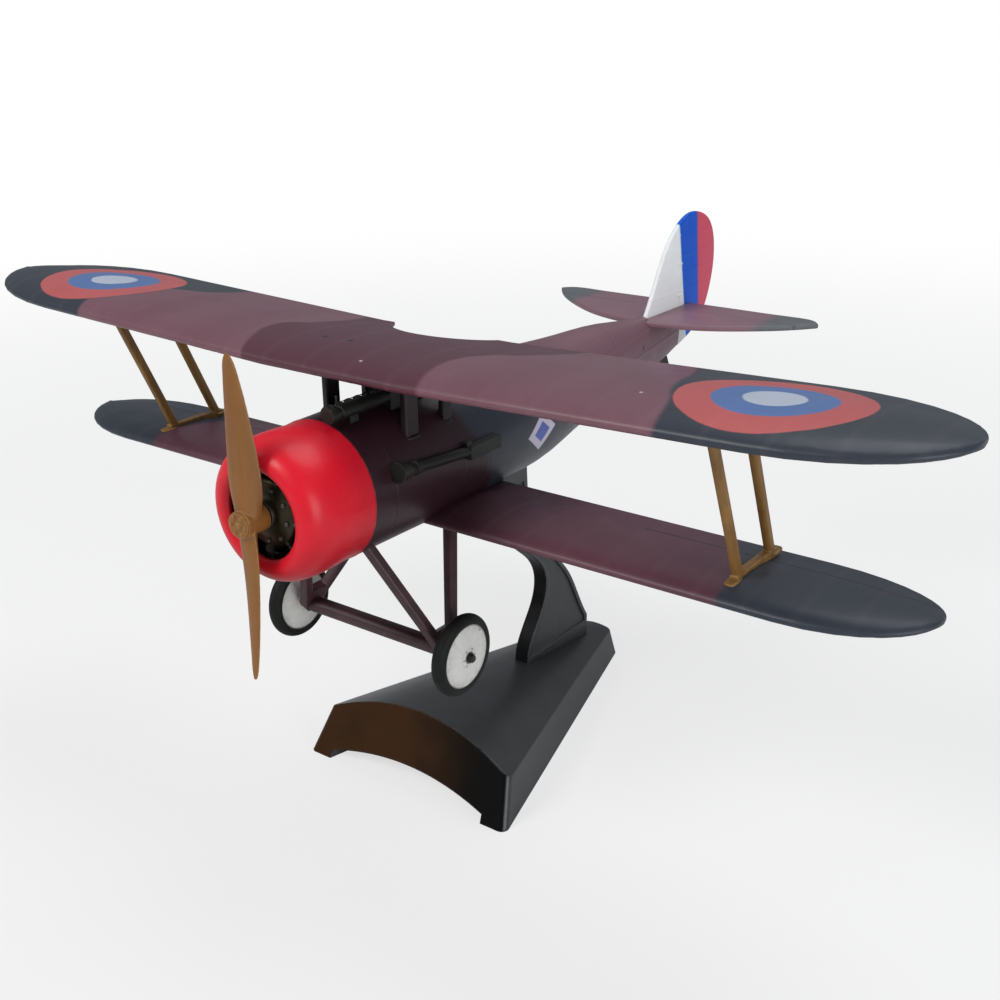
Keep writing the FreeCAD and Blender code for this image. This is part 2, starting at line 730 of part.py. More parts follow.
def stand_arm():
    """A swept web with a recessed panel on each side, and a tab for the belly slot above."""
    body = new_body("stand_arm_blank")
    half, depth = size("arm_thick") / 2, size("arm_recess")
    web = sketch_on(body, "YZ_Plane", -half)
    arm_outline(web, 0.0)
    pad(body, web, "Sheet.arm_thick")
    for start in (-half, half - depth):
        panel = sketch_on(body, "YZ_Plane", start)
        arm_outline(panel, 1.0)
        pocket = body.newObject("PartDesign::Pocket", "arm_panel")
        pocket.Profile = panel
        pocket.setExpression("Length", "Sheet.arm_recess")
        pocket.Reversed = True
        doc.recompute()
    tab = sketch_on(body, "YZ_Plane", -size("tab_thick") / 2)
    polygon(tab, [(50.0, -10.5), (59.0, -10.5), (59.0, -6.9), (58.5, -6.4), (50.5, -6.4), (50.0, -6.9)])
    body.Tip = pad(body, tab, "Sheet.tab_thick")
    return body


def stand_screw():
    y = size("screw_y")
    shank = rod("screw_shank", (0, y, -53.4), (0, y, -43.0), 0.75)
    head = rod("screw_head", (0, y, -54.2), (0, y, -52.6), 2.0)
    whole = joined("screw_whole", [shank, head])
    slot = box("screw_slot", (-0.25, y - 2.1, -54.3), (0.5, 4.2, 0.6))
    return cut("stand_screw", whole, [slot])


# ---------------------------------------------------------------- assembly
struts = {side: interplane_strut(f"interplane_strut_{word}", side)
          for side, word in ((PORT, "port"), (STARBOARD, "starboard"))}
cabanes = {side: cabane_frame(f"cabane_frame_{word}", side)
           for side, word in ((PORT, "port"), (STARBOARD, "starboard"))}
legs_raw = {side: gear_leg(f"gear_leg_{word}_blank", side)
            for side, word in ((PORT, "port"), (STARBOARD, "starboard"))}
half_axle = size("axle_half")
axle_at = (size("axle_y"), size("axle_z"))
axle = rod("axle", (-half_axle, *axle_at), (half_axle, *axle_at), size("axle_radius"))

up_body = wing_shape("upper_wing_blank", "up")
scallop = rod("scallop", (0, size("cutout_y"), 5), (0, size("cutout_y"), 30), size("cutout_radius"))
upper_wing = cut("upper_wing", up_body, [scallop, *struts.values(), *cabanes.values()])
lo_body = wing_shape("lower_wing_blank", "lo")
lower_wing = cut("lower_wing", lo_body, list(struts.values()))

guns = [top_gun(), side_gun()]
skid = tail_skid()
tail = tailplane()
slot = tail_slot()
tub_outer = cockpit_prism("cockpit_outer", 4.6, 5.8, -3.0)
tub_inner = cockpit_prism("cockpit_inner", 4.0, 5.2, -2.2)
tub_seat = box("cockpit_seat", (-3.0, 48.2, -2.4), (6.0, 1.0, 7.5))
tub_pan = box("cockpit_pan", (-2.4, 44.4, -2.4), (4.8, 4.0, 2.2))
tub_limit = rod("cockpit_limit", (0, 38.0, 0.1), (0, 55.0, 0.1), 10.62)
tub_hollow = cut("cockpit_hollow", tub_outer, [tub_inner])
tub_whole = joined("cockpit_whole", [tub_hollow, tub_seat, tub_pan])
tub = doc.addObject("Part::Common", "cockpit_tub")
tub.Base, tub.Tool = tub_whole, tub_limit
doc.recompute()

gap = size("slot_gap")
belly_slot = box("belly_slot", (-size("tab_thick") / 2 - gap, 50.0 - gap, -12.0),
                 (size("tab_thick") + 2 * gap, 9.0 + 2 * gap, 8.0))
shaft_room = rod("shaft_room", (0, 10.0, 0), (0, 17.0, 0), 1.5)
root = wing_root("wing_root", "lo", 15.0)
sockets = [root, tail, slot, tub_outer, belly_slot, shaft_room, skid, *guns]
halves = {}
for side, word in ((PORT, "port"), (STARBOARD, "starboard")):
    blank = fuselage_half(f"fuselage_{word}_blank", side)
    tools = sockets + [legs_raw[side], cabanes[side]]
    halves[side] = cut(f"fuselage_{word}", blank, tools)

fairing_blank = box("fairing_blank", (-12.7, size("axle_y") - 1.3, size("axle_z") - 1.1), (25.4, 2.6, 2.2))
fairing_round = doc.addObject("Part::Fillet", "fairing_round")
fairing_round.Base = fairing_blank
doc.recompute()
fairing_round.Edges = [(i, 1.0, 1.0) for i, e in enumerate(fairing_blank.Shape.Edges, start=1)
                       if e.Length > 20]
doc.recompute()
fairing = cut("axle_fairing", fairing_round, [axle, *legs_raw.values()])
legs = {side: cut(f"gear_leg_{word}", legs_raw[side], [axle, root])
        for side, word in ((PORT, "port"), (STARBOARD, "starboard"))}

caps = []
for side in (PORT, STARBOARD):
    x = side * (half_axle - 0.15)
    cap = rod(f"axle_cap_{side + 1}", (x, *axle_at), (side * (half_axle + 0.4), *axle_at), 0.75, 0.5)
    caps.append(cut(f"axle_cap_cut_{side + 1}", cap, [axle]))
axle_caps = group("axle_caps", caps)

fin = fin_rudder()
base_blank = stand_base()
screw = stand_screw()
arm_blank = stand_arm()
base = cut("stand_base", base_blank, [arm_blank, screw])
arm = cut("stand_arm", arm_blank, [screw])

node(base, "stand_base")
node(arm, "stand_arm")
node(screw, "stand_screw")
node(halves[PORT], "fuselage_port")
node(halves[STARBOARD], "fuselage_starboard")
node(tub, "cockpit_tub")
node(cowling(), "cowling")
node(engine_block(), "engine_block")
node(propeller(), "propeller")
node(propeller_shaft(), "propeller_shaft")
node(upper_wing, "upper_wing")
node(lower_wing, "lower_wing")
node(struts[PORT], "interplane_strut_port")
node(struts[STARBOARD], "interplane_strut_starboard")
node(cabanes[PORT], "cabane_frame_port")
node(cabanes[STARBOARD], "cabane_frame_starboard")
node(legs[PORT], "gear_leg_port")
node(legs[STARBOARD], "gear_leg_starboard")
node(axle, "axle")
node(fairing, "axle_fairing")
node(axle_caps, "axle_caps", solids=2)
node(wheel_disc("wheel_disc_port", PORT), "wheel_disc_port")
node(wheel_disc("wheel_disc_starboard", STARBOARD), "wheel_disc_starboard")
node(tyre("tyre_port", PORT), "tyre_port")
node(tyre("tyre_starboard", STARBOARD), "tyre_starboard")
node(tail, "tailplane")
node(fin, "fin_rudder")
node(skid, "tail_skid")
node(guns[0], "top_gun")
node(guns[1], "side_gun")

doc.recompute()
for item in doc.Objects:
    if "Invalid" in item.State or "Error" in item.State:
        raise RuntimeError(f"{item.Name} is in state {item.State}")
os.makedirs("parts", exist_ok=True)
for item, name, solids in NODES:
    shape = item.Shape
    if shape.isNull() or not shape.isValid():
        raise RuntimeError(f"{name} has no valid shape")
    if len(shape.Solids) != solids:
        raise RuntimeError(f"{name} holds {len(shape.Solids)} solids, not {solids}")
    shape.exportStep(f"parts/{name}.step")
    span = shape.BoundBox
    print(name, len(shape.Solids), round(shape.Volume, 1), round(span.XLength, 1),
          round(span.YLength, 1), round(span.ZLength, 1))
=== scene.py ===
import json
import math

import bmesh
import bpy
from mathutils import Matrix, Vector
from mathutils.bvhtree import BVHTree


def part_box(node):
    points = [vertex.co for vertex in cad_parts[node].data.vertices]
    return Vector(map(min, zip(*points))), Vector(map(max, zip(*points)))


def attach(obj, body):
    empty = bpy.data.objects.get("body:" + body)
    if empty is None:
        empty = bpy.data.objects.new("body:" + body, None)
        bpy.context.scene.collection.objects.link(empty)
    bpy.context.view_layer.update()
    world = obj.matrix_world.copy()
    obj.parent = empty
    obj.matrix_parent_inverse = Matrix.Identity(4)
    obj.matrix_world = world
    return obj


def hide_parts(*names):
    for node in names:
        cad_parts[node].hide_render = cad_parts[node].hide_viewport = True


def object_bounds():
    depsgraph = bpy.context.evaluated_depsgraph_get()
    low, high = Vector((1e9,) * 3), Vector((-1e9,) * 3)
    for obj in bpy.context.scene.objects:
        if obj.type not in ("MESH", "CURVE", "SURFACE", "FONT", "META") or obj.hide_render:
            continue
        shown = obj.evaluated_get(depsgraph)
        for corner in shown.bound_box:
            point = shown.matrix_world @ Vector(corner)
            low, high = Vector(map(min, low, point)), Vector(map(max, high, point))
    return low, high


# Looks of the display biplane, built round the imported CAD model.
# Places are written in millimetres about the propeller hub, as in the part's source:
# X to port, Y aft, Z up. place() turns them into Blender metres in the shared frame.

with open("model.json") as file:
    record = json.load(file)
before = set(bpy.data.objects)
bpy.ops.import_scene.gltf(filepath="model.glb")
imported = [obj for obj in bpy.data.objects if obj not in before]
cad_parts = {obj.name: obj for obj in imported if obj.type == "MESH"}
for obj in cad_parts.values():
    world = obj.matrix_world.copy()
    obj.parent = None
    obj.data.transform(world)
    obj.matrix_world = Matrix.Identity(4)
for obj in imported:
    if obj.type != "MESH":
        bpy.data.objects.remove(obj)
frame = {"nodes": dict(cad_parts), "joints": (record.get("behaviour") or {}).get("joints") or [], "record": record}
CAD_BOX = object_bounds()
NODES = frame["nodes"]
JOINTS = {joint["name"]: joint for joint in frame["joints"]}
BODY_OF = {name: body for body, names in frame["record"]["behaviour"]["bodies"].items() for name in names}
HUB = Vector(JOINTS["propeller_spin"]["pos_m"])
AXLE = Vector(JOINTS["port_wheel_spin"]["pos_m"])
MM = 0.001
SIDES = {"port": 1, "starboard": -1}  # the sign of X on each side
# Lights: the room's strength for reflections, and the softboxes' power in watts.
ROOM_LIGHT = 0.3
KEY_LIGHT = 2.3
TOP_LIGHT = 2.3
FILL_LIGHT = 1.6


def place(x, y, z):
    """A place in hub millimetres as Blender metres."""
    return HUB + Vector((x, y, z)) * MM


def rgb(red, green, blue):
    """A display colour of 0 to 255 as linear light."""
    def linear(value):
        value /= 255
        return value / 12.92 if value <= 0.04045 else ((value + 0.055) / 1.055) ** 2.4
    return (linear(red), linear(green), linear(blue), 1.0)


# ---------------------------------------------------------------- paint kit
class Field:
    """A number at every point of a surface, so that masks read as arithmetic."""

    def __init__(self, tree, socket):
        self.tree = tree
        self.socket = socket

    def _math(self, operation, *others):
        node = self.tree.nodes.new("ShaderNodeMath")
        node.operation = operation
        for slot, value in zip(node.inputs, (self, *others)):
            if isinstance(value, Field):
                self.tree.links.new(value.socket, slot)
            else:
                slot.default_value = value
        return Field(self.tree, node.outputs[0])

    def __add__(self, other):
        return self._math("ADD", other)

    __radd__ = __add__

    def __sub__(self, other):
        return self._math("SUBTRACT", other)

    def __mul__(self, other):
        return self._math("MULTIPLY", other)

    def __truediv__(self, other):
        return self._math("DIVIDE", other)

    def __abs__(self):
        return self._math("ABSOLUTE")

    def high(self, other):
        return self._math("MAXIMUM", other)

    def power(self, other):
        return self._math("POWER", other)

    def wrap(self, top):
        """The remainder from 0 to top, for a pattern that repeats."""
        return self._math("WRAP", top, 0.0)

    def sine(self):
        return self._math("SINE")

    def angle(self, along):
        """The angle of the point (along, self) about the origin."""
        return self._math("ARCTAN2", along)

    def invert(self):
        return (self * -1.0) + 1.0

    def step(self, edge=0.0, soft=0.2):
        """0 well below the edge, 1 well above it, smooth over a width of 2 * soft."""
        node = self.tree.nodes.new("ShaderNodeMapRange")
        node.interpolation_type = "SMOOTHSTEP"
        self.tree.links.new((self - edge).socket, node.inputs["Value"])
        node.inputs["From Min"].default_value = -soft
        node.inputs["From Max"].default_value = soft
        return Field(self.tree, node.outputs["Result"])

    def within(self, centre, half, soft=0.2):
        """1 within half of the centre and 0 outside."""
        return abs(self - centre).step(half, soft).invert()

    def curve(self, low, high, points):
        """Follows a smooth curve through (position, value) points, for positions from low to high."""
        values = [value for _, value in points]
        base, span = min(values), max(max(values) - min(values), 1e-6)
        node = self.tree.nodes.new("ShaderNodeFloatCurve")
        line = node.mapping.curves[0]
        for index, (position, value) in enumerate(points):
            at = ((position - low) / (high - low), (value - base) / span)
            if index < 2:
                line.points[index].location = at
            else:
                line.points.new(*at)
        node.mapping.update()
        self.tree.links.new(((self - low) / (high - low)).socket, node.inputs["Value"])
        return Field(self.tree, node.outputs["Value"]) * span + base


class Paint:
    """One procedural material, with fields in hub millimetres."""

    def __init__(self, name):
        self.material = bpy.data.materials.new(name)
        self.material.use_nodes = True
        self.tree = self.material.node_tree
        self.shader = self.tree.nodes["Principled BSDF"]
        coords = self.tree.nodes.new("ShaderNodeTexCoord")
        shift = self.vector_math("SUBTRACT", coords.outputs["Object"], HUB)
        self.place = self.vector_math("SCALE", shift, None, 1 / MM)
        self.x, self.y, self.z = self.split(self.place)
        geometry = self.tree.nodes.new("ShaderNodeNewGeometry")
        self.true_normal = geometry.outputs["Normal"]
        self.nx, self.ny, self.nz = self.split(self.true_normal)

    def vector_math(self, operation, first, second=None, scale=None):
        node = self.tree.nodes.new("ShaderNodeVectorMath")
        node.operation = operation
        self.tree.links.new(first, node.inputs[0])
        if second is not None:
            if isinstance(second, bpy.types.NodeSocket):
                self.tree.links.new(second, node.inputs[1])
            else:
                node.inputs[1].default_value = second
        if scale is not None:
            node.inputs["Scale"].default_value = scale
        return node.outputs["Value" if operation == "DOT_PRODUCT" else "Vector"]

    def split(self, socket):
        node = self.tree.nodes.new("ShaderNodeSeparateXYZ")
        self.tree.links.new(socket, node.inputs[0])
        return [Field(self.tree, output) for output in node.outputs]

    def noise(self, size, detail=3.0, rough=0.55, stretch=(1.0, 1.0, 1.0), seed=0.0):
        """Noise about 0.5, with features of about the given size in mm."""
        scaled = self.vector_math("MULTIPLY", self.place, [amount / size for amount in stretch])
        node = self.tree.nodes.new("ShaderNodeTexNoise")
        node.noise_dimensions = "4D"
        node.inputs["W"].default_value = seed
        node.inputs["Scale"].default_value = 1.0
        node.inputs["Detail"].default_value = detail
        node.inputs["Roughness"].default_value = rough
        self.tree.links.new(scaled, node.inputs["Vector"])
        return Field(self.tree, node.outputs["Fac"])

    def specks(self, size, share, seed=0.0):
        """Small round specks, in the given share of the cells: 1 inside them, 0 elsewhere."""
        scaled = self.vector_math("SCALE", self.place, None, 1 / size)
        node = self.tree.nodes.new("ShaderNodeTexVoronoi")
        node.voronoi_dimensions = "4D"
        node.inputs["W"].default_value = seed
        node.inputs["Scale"].default_value = 1.0
        self.tree.links.new(scaled, node.inputs["Vector"])
        near = Field(self.tree, node.outputs["Distance"]).step(0.16, 0.06).invert()
        lot = self.tree.nodes.new("ShaderNodeSeparateColor")
        self.tree.links.new(node.outputs["Color"], lot.inputs[0])
        return near * Field(self.tree, lot.outputs[0]).step(1 - share, 0.01)

    def distance(self, x, y, z=None):
        """Distance in mm from a line along Z, or from a point."""
        total = (self.x - x).power(2.0) + (self.y - y).power(2.0)
        if z is not None:
            total = total + (self.z - z).power(2.0)
        return total.power(0.5)

    def edges(self, radius=0.35):
        """1 along sharp edges, by how far a bevelled normal leans from the true one."""
        node = self.tree.nodes.new("ShaderNodeBevel")
        node.samples = 4
        node.inputs["Radius"].default_value = radius * MM
        lean = Field(self.tree, self.vector_math("DOT_PRODUCT", node.outputs["Normal"], self.true_normal))
        return lean.step(0.97, 0.03).invert()

    def mix(self, base, top, mask):
        """Colour base with colour top laid over it where mask is 1."""
        node = self.tree.nodes.new("ShaderNodeMix")
        node.data_type = "RGBA"
        for slot, value in ((node.inputs[6], base), (node.inputs[7], top)):
            if isinstance(value, bpy.types.NodeSocket):
                self.tree.links.new(value, slot)
            else:
                slot.default_value = value
        if isinstance(mask, Field):
            self.tree.links.new(mask.socket, node.inputs[0])
        else:
            node.inputs[0].default_value = mask
        return node.outputs[2]

    def shade(self, colour, amount):
        """The colour multiplied by a field about 1."""
        node = self.tree.nodes.new("ShaderNodeVectorMath")
        node.operation = "SCALE"
        if isinstance(colour, bpy.types.NodeSocket):
            self.tree.links.new(colour, node.inputs[0])
        else:
            node.inputs[0].default_value = colour[:3]
        self.tree.links.new(amount.socket, node.inputs["Scale"])
        return node.outputs["Vector"]

    def weather(self, colour, mottle=0.16, size=6.0, seed=0.0, dusty=0.12):
        """Broad cloudy variation, fine brush grain and a little dust."""
        cloud = self.noise(size, 4.0, 0.6, seed=seed)
        grain = self.noise(0.5, 2.0, 0.6, (1.0, 0.25, 1.0), seed + 3.0)
        colour = self.shade(colour, (cloud - 0.5) * (2 * mottle) + (grain - 0.5) * 0.10 + 1.0)
        dust = self.specks(1.3, 0.03, seed + 5.0) * dusty
        return self.mix(colour, rgb(170, 160, 155), dust)

    def finish(self, colour, rough=0.45, spread=0.12, height=None, bevel=0.0, coat=0.0, metal=0.0,
               specular=0.5, seed=0.0):
        """Joins colour, roughness and height (in mm) to the shader."""
        links, shader = self.tree.links, self.shader
        if isinstance(colour, bpy.types.NodeSocket):
            links.new(colour, shader.inputs["Base Color"])
        else:
            shader.inputs["Base Color"].default_value = colour
        patches = self.noise(3.5, 3.0, 0.6, seed=seed + 11.0)
        roughness = (patches - 0.5) * (2 * spread) + rough
        links.new(roughness.socket, shader.inputs["Roughness"])
        shader.inputs["Metallic"].default_value = metal
        if isinstance(specular, Field):
            links.new(specular.socket, shader.inputs["Specular IOR Level"])
        else:
            shader.inputs["Specular IOR Level"].default_value = specular
        shader.inputs["Coat Weight"].default_value = coat
        shader.inputs["Coat Roughness"].default_value = 0.18
        bump = self.tree.nodes.new("ShaderNodeBump")
        bump.inputs["Distance"].default_value = MM
        skin = (self.noise(0.7, 2.0, 0.5, seed=seed + 17.0) - 0.5) * 0.012
        height = skin if height is None else height + skin
        links.new(height.socket, bump.inputs["Height"])
        if bevel:
            node = self.tree.nodes.new("ShaderNodeBevel")
            node.samples = 6
            node.inputs["Radius"].default_value = bevel * MM
            links.new(node.outputs["Normal"], bump.inputs["Normal"])
        links.new(bump.outputs["Normal"], shader.inputs["Normal"])
        return self.material


PURPLE_DARK = rgb(88, 50, 62)
PURPLE = rgb(108, 68, 80)
PURPLE_LIGHT = rgb(128, 92, 102)
CHARCOAL = rgb(50, 56, 66)
GROOVE = rgb(30, 24, 28)
RED_RING = rgb(190, 92, 92)
BLUE_RING = rgb(86, 117, 172)
PALE_RING = rgb(186, 196, 212)


def ribs(paint, pitch, half_width, rise):
    """Low ridges along the chord, one every pitch."""
    across = abs((paint.x + 500.0 * pitch).wrap(pitch) - pitch / 2)
    return across.step(half_width, half_width * 0.8).invert() * rise


def groove(field, centre, half, depth):
    """A scribed line where the field equals centre, as a negative height."""
    return field.within(centre, half, half * 0.7) * -depth


def roundels(paint, colour, centre_x, centre_y, radius):
    """Three plain rings on the top of each side: red, blue and a pale middle."""
    top = paint.nz.step(-0.25, 0.05)
    for side in SIDES.values():
        wobble = (paint.noise(2.5, 2.0, 0.5, seed=2.0) - 0.5) * 0.25
        away = paint.distance(side * centre_x, centre_y) + wobble
        for share, ring in ((1.0, RED_RING), (0.634, BLUE_RING), (0.318, PALE_RING)):
            colour = paint.mix(colour, ring, away.step(radius * share, 0.14).invert() * top)
    return colour


# ---------------------------------------------------------------- painted shells
def upper_wing_paint():
    paint = Paint("upper_wing_paint")
    edge = (paint.noise(5.0, 3.0, 0.55, seed=1.0) - 0.5) * 1.6
    # Borders of the painted patches: fore-and-aft place, then the place across the span.
    tip_port = paint.y.curve(13.0, 42.0, [(13, 50.0), (20, 48.8), (28, 45.6), (35, 44.0), (42, 41.0)])
    tip_starboard = paint.y.curve(13.0, 42.0, [(13, 48.0), (20, 52.0), (30, 47.0), (35, 41.0), (42, 40.0)])
    mid_port = paint.y.curve(13.0, 42.0, [(13, 18.0), (18, 15.5), (24, 15.0), (29, 17.5), (32, 21.0),
                                          (42, 25.0)])
    mid_starboard = paint.y.curve(13.0, 42.0, [(13, 13.0), (20, 17.0), (25, 18.0), (30, 15.0), (36, 14.0),
                                               (42, 17.0)])
    port_of_middle = (mid_port - paint.x + edge * 0.4).step(0.0, 0.5)
    middle = port_of_middle * (paint.x + mid_starboard + edge * 0.4).step(0.0, 0.5)
    tips = (paint.x - tip_port + edge * 0.4).step(0.0, 0.5).high(
        (paint.x * -1.0 - tip_starboard + edge * 0.4).step(0.0, 0.5))
    colour = paint.mix(PURPLE, PURPLE_LIGHT, paint.noise(14.0, 3.0, 0.5, (1.0, 0.4, 1.0), 4.0))
    colour = paint.mix(colour, PURPLE_DARK, middle)
    colour = paint.mix(colour, CHARCOAL, tips)
    colour = roundels(paint, colour, 58.2, 28.5, 11.45)
    sinks = [(-7.5, 24.5, 0.42, GROOVE), (-3.0, 24.8, 0.42, GROOVE)]
    chips = [(4.2, 18.8, 0.22, rgb(200, 185, 180)), (44.0, 23.0, 0.22, rgb(200, 185, 180))]
    for x, y, radius, tone in sinks + chips:
        spot = paint.distance(x, y).step(radius, 0.12).invert()
        colour = paint.mix(colour, tone, spot * paint.nz.step(0.3, 0.2))
    colour = paint.weather(colour, 0.12, 9.0, 1.0)
    rib = ribs(paint, 7.4, 0.5, 0.018)
    # Paler colour along the rib ridges: painted highlight on the ridges.
    colour = paint.mix(colour, rgb(150, 122, 130), rib * 2.0)
    aileron = abs(paint.x).step(30.0, 0.2) * abs(paint.x).step(74.0, 0.2).invert()
    height = rib + groove(paint.y, 36.6, 0.09, 0.12) * aileron
    return paint.finish(colour, 0.44, 0.1, height, 0.25, coat=0.08, specular=0.35, seed=1.0)


def lower_wing_paint():
    paint = Paint("lower_wing_paint")
    across = abs(paint.x)
    edge = (paint.noise(4.0, 3.0, 0.55, seed=6.0) - 0.5) * 1.6
    border = paint.y.curve(27.0, 47.0, [(27, 52.5), (33, 52.0), (38, 50.0), (47, 47.0)])
    # Darker inboard of about 20 mm: painted shade on the wing root beside the fuselage.
    colour = paint.mix(rgb(66, 38, 48), rgb(88, 54, 66), across.step(20.0, 6.0))
    colour = paint.mix(colour, PURPLE, across.within(33.0, 9.0, 6.0) * 0.5)
    colour = paint.mix(colour, CHARCOAL, (across - border + edge * 0.4).step(0.0, 0.5))
    aileron = across.step(35.0, 0.2) * across.step(75.5, 0.2).invert()
    hinge = paint.y.within(41.2, 0.16, 0.1) * aileron * paint.nz.step(0.2, 0.2)
    colour = paint.mix(colour, GROOVE, hinge * 0.8)
    colour = paint.weather(colour, 0.12, 8.0, 8.0)
    rib = ribs(paint, 6.6, 0.5, 0.018)
    # Paler colour along the rib ridges: painted highlight on the ridges.
    colour = paint.mix(colour, rgb(140, 112, 120), rib * 2.0)
    return paint.finish(colour, 0.46, 0.1, rib - hinge * 0.14, 0.22, coat=0.06, specular=0.35, seed=8.0)


def fuselage_paint():
    paint = Paint("fuselage_paint")
    edge = (paint.noise(4.5, 3.0, 0.55, seed=12.0) - 0.5) * 2.0
    # Ahead of y 44, under the upper wing, the purple is much darker: painted shade of the upper wing.
    wing_shade_front = rgb(44, 21, 29)
    start = paint.z.curve(-12.0, 12.0, [(-12, 45.0), (-8, 42.0), (0, 38.0), (6, 34.5), (12, 33.0)])
    end = paint.z.curve(-12.0, 12.0, [(-12, 82.0), (-4, 74.0), (2, 66.0), (7, 58.0), (12, 50.0)])
    band = (paint.y - start + edge).step(0.0, 0.9) * (end - paint.y + edge).step(0.0, 0.9)
    band = band * (paint.z + edge).step(8.2, 0.8).invert()
    colour = paint.mix(wing_shade_front, rgb(96, 62, 74), paint.y.step(44.0, 6.0))
    # Lighter on the top behind the wing: painted light from above.
    colour = paint.mix(colour, PURPLE_LIGHT, paint.y.step(62.0, 12.0) * paint.z.step(4.0, 4.0) * 0.8)
    colour = paint.mix(colour, rgb(42, 48, 58), band)
    colour = plain_badge(paint, colour, 53.2, -0.6)
    frames = (18.4, 33.2, 38.6, 61.0, 83.0)
    height = sum(groove(paint.y, y, 0.09, 0.05) for y in frames)
    stringer_start = 63.0
    for z in (-3.5, 0.8, 4.6):
        rise = (paint.y - stringer_start) * 0.02 + z
        stringer = (paint.z - rise).within(0.0, 0.25, 0.25) * paint.y.step(stringer_start, 1.0)
        height = height + stringer * 0.06
    colour = paint.mix(colour, GROOVE, sum(paint.y.within(y, 0.12, 0.08) for y in frames) * 0.25)
    colour = paint.weather(colour, 0.13, 7.0, 14.0)
    return paint.finish(colour, 0.42, 0.1, height, 0.25, coat=0.1, specular=0.35, seed=14.0)


def plain_badge(paint, colour, y, z):
    """A generic mark on each flank: one plain diamond inside another."""
    away = abs(paint.y - y) / 4.2 + abs(paint.z - z) / 3.1
    side = abs(paint.nx).step(0.3, 0.1)
    colour = paint.mix(colour, rgb(200, 192, 210), away.step(1.0, 0.04).invert() * side)
    return paint.mix(colour, rgb(74, 96, 176), away.step(0.55, 0.04).invert() * side)


def tailplane_paint():
    paint = Paint("tailplane_paint")
    across = abs(paint.x)
    edge = (paint.noise(4.0, 3.0, 0.55, seed=21.0) - 0.5) * 1.6
    colour = paint.mix(rgb(126, 92, 102), rgb(142, 110, 120), paint.noise(8.0, 2.0, 0.5, seed=22.0) * 0.7)
    colour = paint.mix(colour, rgb(96, 99, 102), (across + edge).step(19.0, 1.6))
    hinge = paint.y.within(111.2, 0.14, 0.1) * across.step(2.0, 0.2) * across.step(25.0, 0.2).invert()
    colour = paint.mix(colour, GROOVE, hinge * 0.2)
    colour = paint.weather(colour, 0.12, 6.0, 22.0)
    rib = ribs(paint, 4.6, 0.35, 0.016)
    return paint.finish(colour, 0.45, 0.1, rib - hinge * 0.1, 0.3, seed=22.0)


def fin_paint():
    """Pale fin, then a blue and a red band on the rudder, with borders that lean with its hinge."""
    paint = Paint("fin_paint")
    wobble = (paint.noise(3.0, 2.0, 0.5, seed=31.0) - 0.5) * 0.2
    slant = (paint.z - 5.5) / 16.5
    front_edge = paint.y - (slant * -3.2 + 115.1) + wobble
    rear_edge = paint.y - (slant * -1.9 + 120.7) + wobble
    colour = paint.mix(rgb(252, 253, 253), rgb(240, 243, 244), paint.noise(5.0, 3.0, 0.6, seed=32.0))
    colour = paint.mix(colour, rgb(150, 195, 245), front_edge.within(0.0, 0.3, 0.2) * 0.7)
    colour = paint.mix(colour, rgb(6, 88, 208), front_edge.step(0.0, 0.12))
    colour = paint.mix(colour, rgb(112, 84, 156), rear_edge.within(0.0, 0.28, 0.15))
    colour = paint.mix(colour, rgb(214, 82, 104), rear_edge.step(0.12, 0.12))
    # Greyer below the tailplane: painted shade under it.
    shade_below_tailplane = paint.z.step(5.2, 0.2).invert() * front_edge.step(0, 0.1).invert()
    colour = paint.mix(colour, rgb(206, 210, 210), shade_below_tailplane)
    colour = paint.weather(colour, 0.05, 5.0, 33.0)
    hinge = groove(paint.y, 113.0, 0.1, 0.08)
    ribbing = abs((paint.z + 40.0).wrap(3.4) - 1.7).step(0.25, 0.2).invert() * 0.03
    return paint.finish(colour, 0.45, 0.08, hinge + ribbing, 0.3, specular=0.25, seed=33.0)


def cowling_paint():
    paint = Paint("cowling_paint")
    around = (paint.x.power(2.0) + paint.z.power(2.0)).power(0.5)
    colour = paint.mix(rgb(234, 22, 46), rgb(220, 15, 38), paint.noise(7.0, 3.0, 0.5, seed=41.0))
    colour = paint.mix(colour, rgb(196, 20, 42), paint.y.step(11.0, 2.0) * 0.6)
    colour = paint.mix(colour, rgb(120, 18, 30), paint.y.step(13.95, 0.1) * 0.7)
    # Darker on the underside: painted shade.
    colour = paint.mix(colour, rgb(150, 12, 28), (paint.nz * -1.0).step(0.35, 0.6) * 0.75)
    # Near-black inside the mouth and the bore: painted shade in the recess.
    mouth = around.step(7.0, 0.4).invert() * paint.y.step(3.4, 0.3)
    bore = around.step(9.3, 0.1).invert() * paint.y.step(4.6, 0.4)
    colour = paint.mix(colour, rgb(28, 22, 22), mouth.high(bore))
    rub = paint.edges(0.3) * paint.noise(1.2, 2.0, seed=42.0).step(0.5, 0.1)
    colour = paint.mix(colour, rgb(236, 120, 126), rub * 0.3)
    seam = groove(paint.y, 11.6, 0.07, 0.015)
    colour = paint.weather(colour, 0.05, 4.0, 43.0)
    return paint.finish(colour, 0.42, 0.06, seam, 0.2, coat=0.12, specular=0.3, seed=43.0)


# ---------------------------------------------------------------- small parts' finishes
def moulded(name, tone, second, rough, size, edge_tone, bevel, metal=0.0, grain=(1.0, 1.0, 1.0), seed=0.0,
            specular=0.5):
    """Moulded plastic or painted metal in two close tones, paler or barer on its edges."""
    paint = Paint(name)
    cloud = paint.noise(size, 4.0, 0.6, grain, seed)
    colour = paint.mix(tone, second, cloud.step(0.5, 0.22))
    if edge_tone:
        rub = paint.edges(0.3) * paint.noise(1.0, 3.0, 0.6, seed=seed + 1.0).step(0.46, 0.12)
        colour = paint.mix(colour, edge_tone, rub * 0.7)
    colour = paint.weather(colour, 0.08, size * 0.6, seed + 2.0)
    return paint.finish(colour, rough, 0.1, None, bevel, metal=metal, specular=specular, seed=seed + 2.0)


